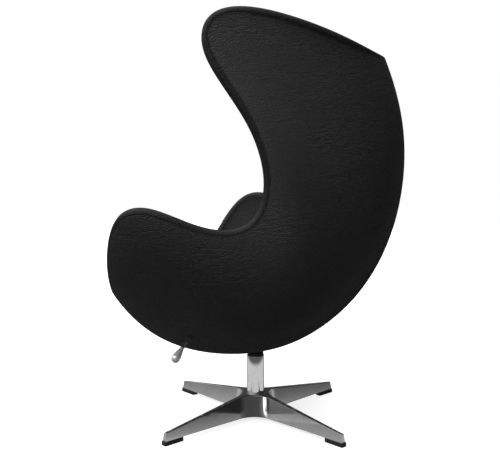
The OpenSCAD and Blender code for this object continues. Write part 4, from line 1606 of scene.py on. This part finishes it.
class Carried(Enum):
    """CAD nodes by the finish that they get; all but the shell's core keep their own shape."""

    ZINC = (ZINC, ("pad_screws", "rod_clip", "pivot_pin_left", "pivot_pin_right", "plate_bolts", "tee_nuts",
                   "block_screws", "lever_axle", "lever_rod"))
    STEEL = (GROUND_STEEL, ("bearing_lower", "bearing_balls", "bearing_upper", "piston_rod", "release_pin",
                            "tilt_spring"))
    COATED = (POWDER_COAT, ("gas_cylinder", "tilt_bracket", "spring_peg", "seat_plate", "lever_lugs",
                            "release_cam"))
    RUBBER = (PAD_RUBBER, ("stop_block",))
    PLASTIC = (BLACK_PLASTIC, ("lever_eyelet",))
    BUSHES = (BRONZE, ("pivot_bushes",))
    WOOD = (PLYWOOD, ("mounting_board", "front_block", "rear_block"))
    HIDDEN = (LAMINATE, ("shell_core",))

    def dress(self, nodes: dict[str, bpy.types.Object]) -> None:
        """Gives each node its finish.

        Args:
            nodes: the frame's nodes by name.
        """
        finish, names = self.value
        for name in names:
            mesh = nodes[name].data
            mesh.materials.clear()
            mesh.materials.append(finish.material())
            LOG.info("%s: %s", name, finish.title)


# Studio


@dataclass(frozen=True)
class MirroredFloor:
    """How bright the floor is in polished metal.

    It depends on how flatly a ray meets the floor and on the azimuth from the column, so that the steep, the
    flat and the hollow faces of the base each mirror their own part of a dim studio. Flatness is Layer
    Weight's Facing, which is 1 less the sine of the ray's elevation: 0.72 to 0.80 from the column, 0.84 to
    0.87 from the legs' sides and above 0.88 from the hollows between them. Azimuths are in degrees, and
    distances in metres.
    """

    dark: float = 0.12
    pale: float = 0.57
    pale_from: tuple[float, float] = (0.55, 0.66)
    behind: float = 0.3
    side_rise: tuple[float, float] = (-125.0, -100.0)
    side_fall: tuple[float, float] = (128.0, 152.0)
    legs_from: tuple[float, float] = (0.80, 0.84)
    first_drop: float = 0.40
    first_drop_over: tuple[float, float] = (0.840, 0.864)
    second_drop: float = 0.19
    second_drop_over: tuple[float, float] = (0.855, 0.882)
    right: float = 0.17
    right_until: tuple[float, float] = (-12.0, 4.0)
    pale_reach: tuple[float, float] = (0.75, 1.05)
    strip: float = 3.0
    strip_from: tuple[float, float] = (0.876, 0.890)
    strip_rise: tuple[float, float] = (-31.0, -28.0)
    strip_fall: tuple[float, float] = (-19.0, -16.0)
    strip_reach: tuple[float, float] = (1.0, 1.4)

    def brightness(self, graph: Graph, centre: tuple[float, float]) -> Scalar:
        """The brightness at a point of the floor.

        Args:
            graph: the floor material's graph.
            centre: the column's place on the floor.

        Returns:
            The brightness.
        """
        where = graph.node("ShaderNodeMapping", None, {
            "Vector": graph.node("ShaderNodeTexCoord").outputs["Object"],
            "Location": (-centre[0], -centre[1], 0.0)}).outputs["Vector"]
        turn = graph.node("ShaderNodeTexGradient", {"gradient_type": "RADIAL"}, {"Vector": where})
        azimuth = Scalar(graph, turn.outputs["Fac"]) * 360.0 - 180.0
        r = graph.scalar("ShaderNodeVectorMath", "Value", {"operation": "LENGTH"}, {0: where})
        flatness = graph.scalar("ShaderNodeLayerWeight", "Facing", None, {"Blend": 0.5})
        sides = self.behind + (1 - self.behind) * azimuth.between(*self.side_rise) * (
            1 - azimuth.between(*self.side_fall))
        legs = flatness.between(*self.legs_from)
        pale = flatness.between(*self.pale_from) * (
            self.pale * (sides + (1 - sides) * legs)
            - self.first_drop * flatness.between(*self.first_drop_over)
            - self.second_drop * flatness.between(*self.second_drop_over))
        right = self.right * (legs * (1 - azimuth.between(*self.right_until)))
        strip = (flatness.between(*self.strip_from) * azimuth.between(*self.strip_rise)
                 * (1 - azimuth.between(*self.strip_fall)))
        return (self.dark + (pale + right) * (1 - r.between(*self.pale_reach))
                + self.strip * strip * (1 - r.between(*self.strip_reach)))


@dataclass
class Studio:
    """The pale floor, the soft lights and the camera."""

    azimuth: float = math.radians(110.2)
    distance: float = 2.225
    height: float = 0.758
    focal_px: float = 764.0
    image: tuple[int, int] = (500, 450)
    horizon_px: float = 155.4
    axis_px: float = 255.5
    aim: tuple[float, float] = (0.0, -40 * MM)
    sensor: float = 36.0
    floor_size: float = 6.0
    floor_glow: float = 0.75
    floor_pale: float = 0.80
    floor_dim: float = 0.16
    window: tuple[float, float] = (math.radians(-52.0), math.radians(53.0))
    window_spread: tuple[float, float] = (0.12, 1.0)
    low_share: float = 0.15
    rise: tuple[float, float] = (-0.05, 0.75)
    card: tuple[float, float] = (math.radians(9.0), math.radians(3.0))
    card_spread: tuple[float, float] = (0.94, 0.996)
    card_share: float = 0.25
    room_dark: float = 0.05
    room_bright: float = 2.0
    lamp_size: float = 2.2
    lit: tuple[float, float, float] = (0.0, 0.0, 0.6)

    def camera(self) -> None:
        """Puts the camera where the photograph was taken: level, with the frame shifted down."""
        data = bpy.data.cameras.new("camera")
        width, height = self.image
        data.sensor_width = self.sensor
        data.sensor_fit = "HORIZONTAL"
        data.lens = self.focal_px / width * self.sensor
        data.shift_x = -(self.axis_px - width / 2) / width
        data.shift_y = -(height / 2 - self.horizon_px) / width
        data.dof.use_dof = False
        obj = bpy.data.objects.new("camera", data)
        bpy.context.scene.collection.objects.link(obj)
        obj.location = (self.aim[0] + self.distance * math.sin(self.azimuth),
                        self.aim[1] - self.distance * math.cos(self.azimuth), self.height)
        obj.rotation_euler = (math.pi / 2, 0, self.azimuth)
        bpy.context.scene.camera = obj

    def floor(self) -> None:
        """A pale floor that keeps the shadow for the camera, and is a dim studio floor for the metal."""
        size = self.floor_size
        mesh = bpy.data.meshes.new("floor")
        mesh.from_pydata([(-size, -size, 0), (size, -size, 0), (size, size, 0), (-size, size, 0)], [],
                         [(0, 1, 2, 3)])
        obj = bpy.data.objects.new("floor", mesh)
        bpy.context.scene.collection.objects.link(obj)
        material = bpy.data.materials.new("pale_floor")
        graph = Graph(material)
        path = graph.node("ShaderNodeLightPath")
        pale = graph.node("ShaderNodeBsdfDiffuse", None, {"Color": (*(self.floor_pale,) * 3, 1)})
        glow = graph.node("ShaderNodeEmission", None, {"Color": (1, 1, 1, 1), "Strength": self.floor_glow})
        seen = graph.node("ShaderNodeAddShader", None, {0: pale.outputs[0], 1: glow.outputs[0]})
        dim = graph.node("ShaderNodeBsdfDiffuse", None, {"Color": (*(self.floor_dim,) * 3, 1)})
        brightness = MirroredFloor().brightness(graph, self.aim)
        mirrored = graph.node("ShaderNodeEmission", None, {"Color": (1, 1, 1, 1), "Strength": brightness})
        rest = graph.node("ShaderNodeMixShader", None,
                          {0: path.outputs["Is Glossy Ray"], 1: dim.outputs[0], 2: mirrored.outputs[0]})
        mixed = graph.node("ShaderNodeMixShader", None,
                           {0: path.outputs["Is Camera Ray"], 1: rest.outputs[0], 2: seen.outputs[0]})
        graph.node("ShaderNodeOutputMaterial", None, {"Surface": mixed.outputs[0]})
        mesh.materials.append(material)

    def world(self) -> None:
        """White for the camera, and for the light a dim room with a high window and a low card."""
        world = bpy.data.worlds.new("studio")
        bpy.context.scene.world = world
        graph = Graph(world)
        path = graph.node("ShaderNodeLightPath")
        direction = graph.node("ShaderNodeTexCoord").outputs["Object"]
        level = graph.node("ShaderNodeSeparateXYZ", None, {"Vector": direction}).outputs["Z"]
        window = self.nearness(graph, direction, self.window).between(*self.window_spread)
        card = self.nearness(graph, direction, self.card).between(*self.card_spread)
        height = self.low_share + (1 - self.low_share) * Scalar(graph, level).between(*self.rise)
        share = window * height + self.card_share * card
        room = graph.node("ShaderNodeBackground", None,
                          {"Color": (1, 1, 1, 1), "Strength": self.room_dark + self.room_bright * share})
        white = graph.node("ShaderNodeBackground", None, {"Color": (1, 1, 1, 1), "Strength": 1.0})
        mixed = graph.node("ShaderNodeMixShader", None,
                           {0: path.outputs["Is Camera Ray"], 1: room.outputs[0], 2: white.outputs[0]})
        graph.node("ShaderNodeOutputWorld", None, {"Surface": mixed.outputs[0]})

    @staticmethod
    def nearness(graph: Graph, direction: bpy.types.NodeSocket, place: tuple[float, float]) -> Scalar:
        """How near a direction is to a place in the room: the cosine of the angle between them.

        Args:
            graph: the world's graph.
            direction: the direction's socket.
            place: the place's azimuth and elevation, in radians.

        Returns:
            The cosine.
        """
        azimuth, elevation = place
        towards = (math.cos(azimuth) * math.cos(elevation), math.sin(azimuth) * math.cos(elevation),
                   math.sin(elevation))
        facing = graph.node("ShaderNodeVectorMath", {"operation": "DOT_PRODUCT"}, {0: direction, 1: towards})
        return Scalar(graph, facing.outputs["Value"])

    def lamp(self, name: str, place: Sequence[float], power: float) -> None:
        """A soft square lamp that points at the chair's middle.

        Args:
            name: the lamp's name.
            place: where it stands.
            power: its power, in watts.
        """
        data = bpy.data.lights.new(name, "AREA")
        data.shape = "SQUARE"
        data.size = self.lamp_size
        data.energy = power
        obj = bpy.data.objects.new(name, data)
        bpy.context.scene.collection.objects.link(obj)
        obj.location = place
        obj.rotation_euler = (Vector(self.lit) - Vector(place)).to_track_quat("-Z", "Y").to_euler()

    def build(self) -> None:
        """Builds the stage."""
        self.camera()
        self.floor()
        self.world()
        self.lamp("key", (1.5, -2.2, 3.0), 22.0)
        self.lamp("top", (0.4, -0.4, 3.2), 8.0)
        bpy.context.scene.view_settings.view_transform = "Standard"
        LOG.info("studio ready")


def main() -> None:
    """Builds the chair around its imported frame."""
    logging.basicConfig(level=logging.INFO, format="%(message)s")
    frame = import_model()
    Studio().build()
    for group in Carried:
        group.dress(frame["nodes"])
    upholstery = Upholstery()
    upholstery.build()
    SeatCushion().build()
    StarBase().build()
    Column().build()
    ReleaseLever().build(upholstery.egg)


if __name__ == "__main__":
    main()
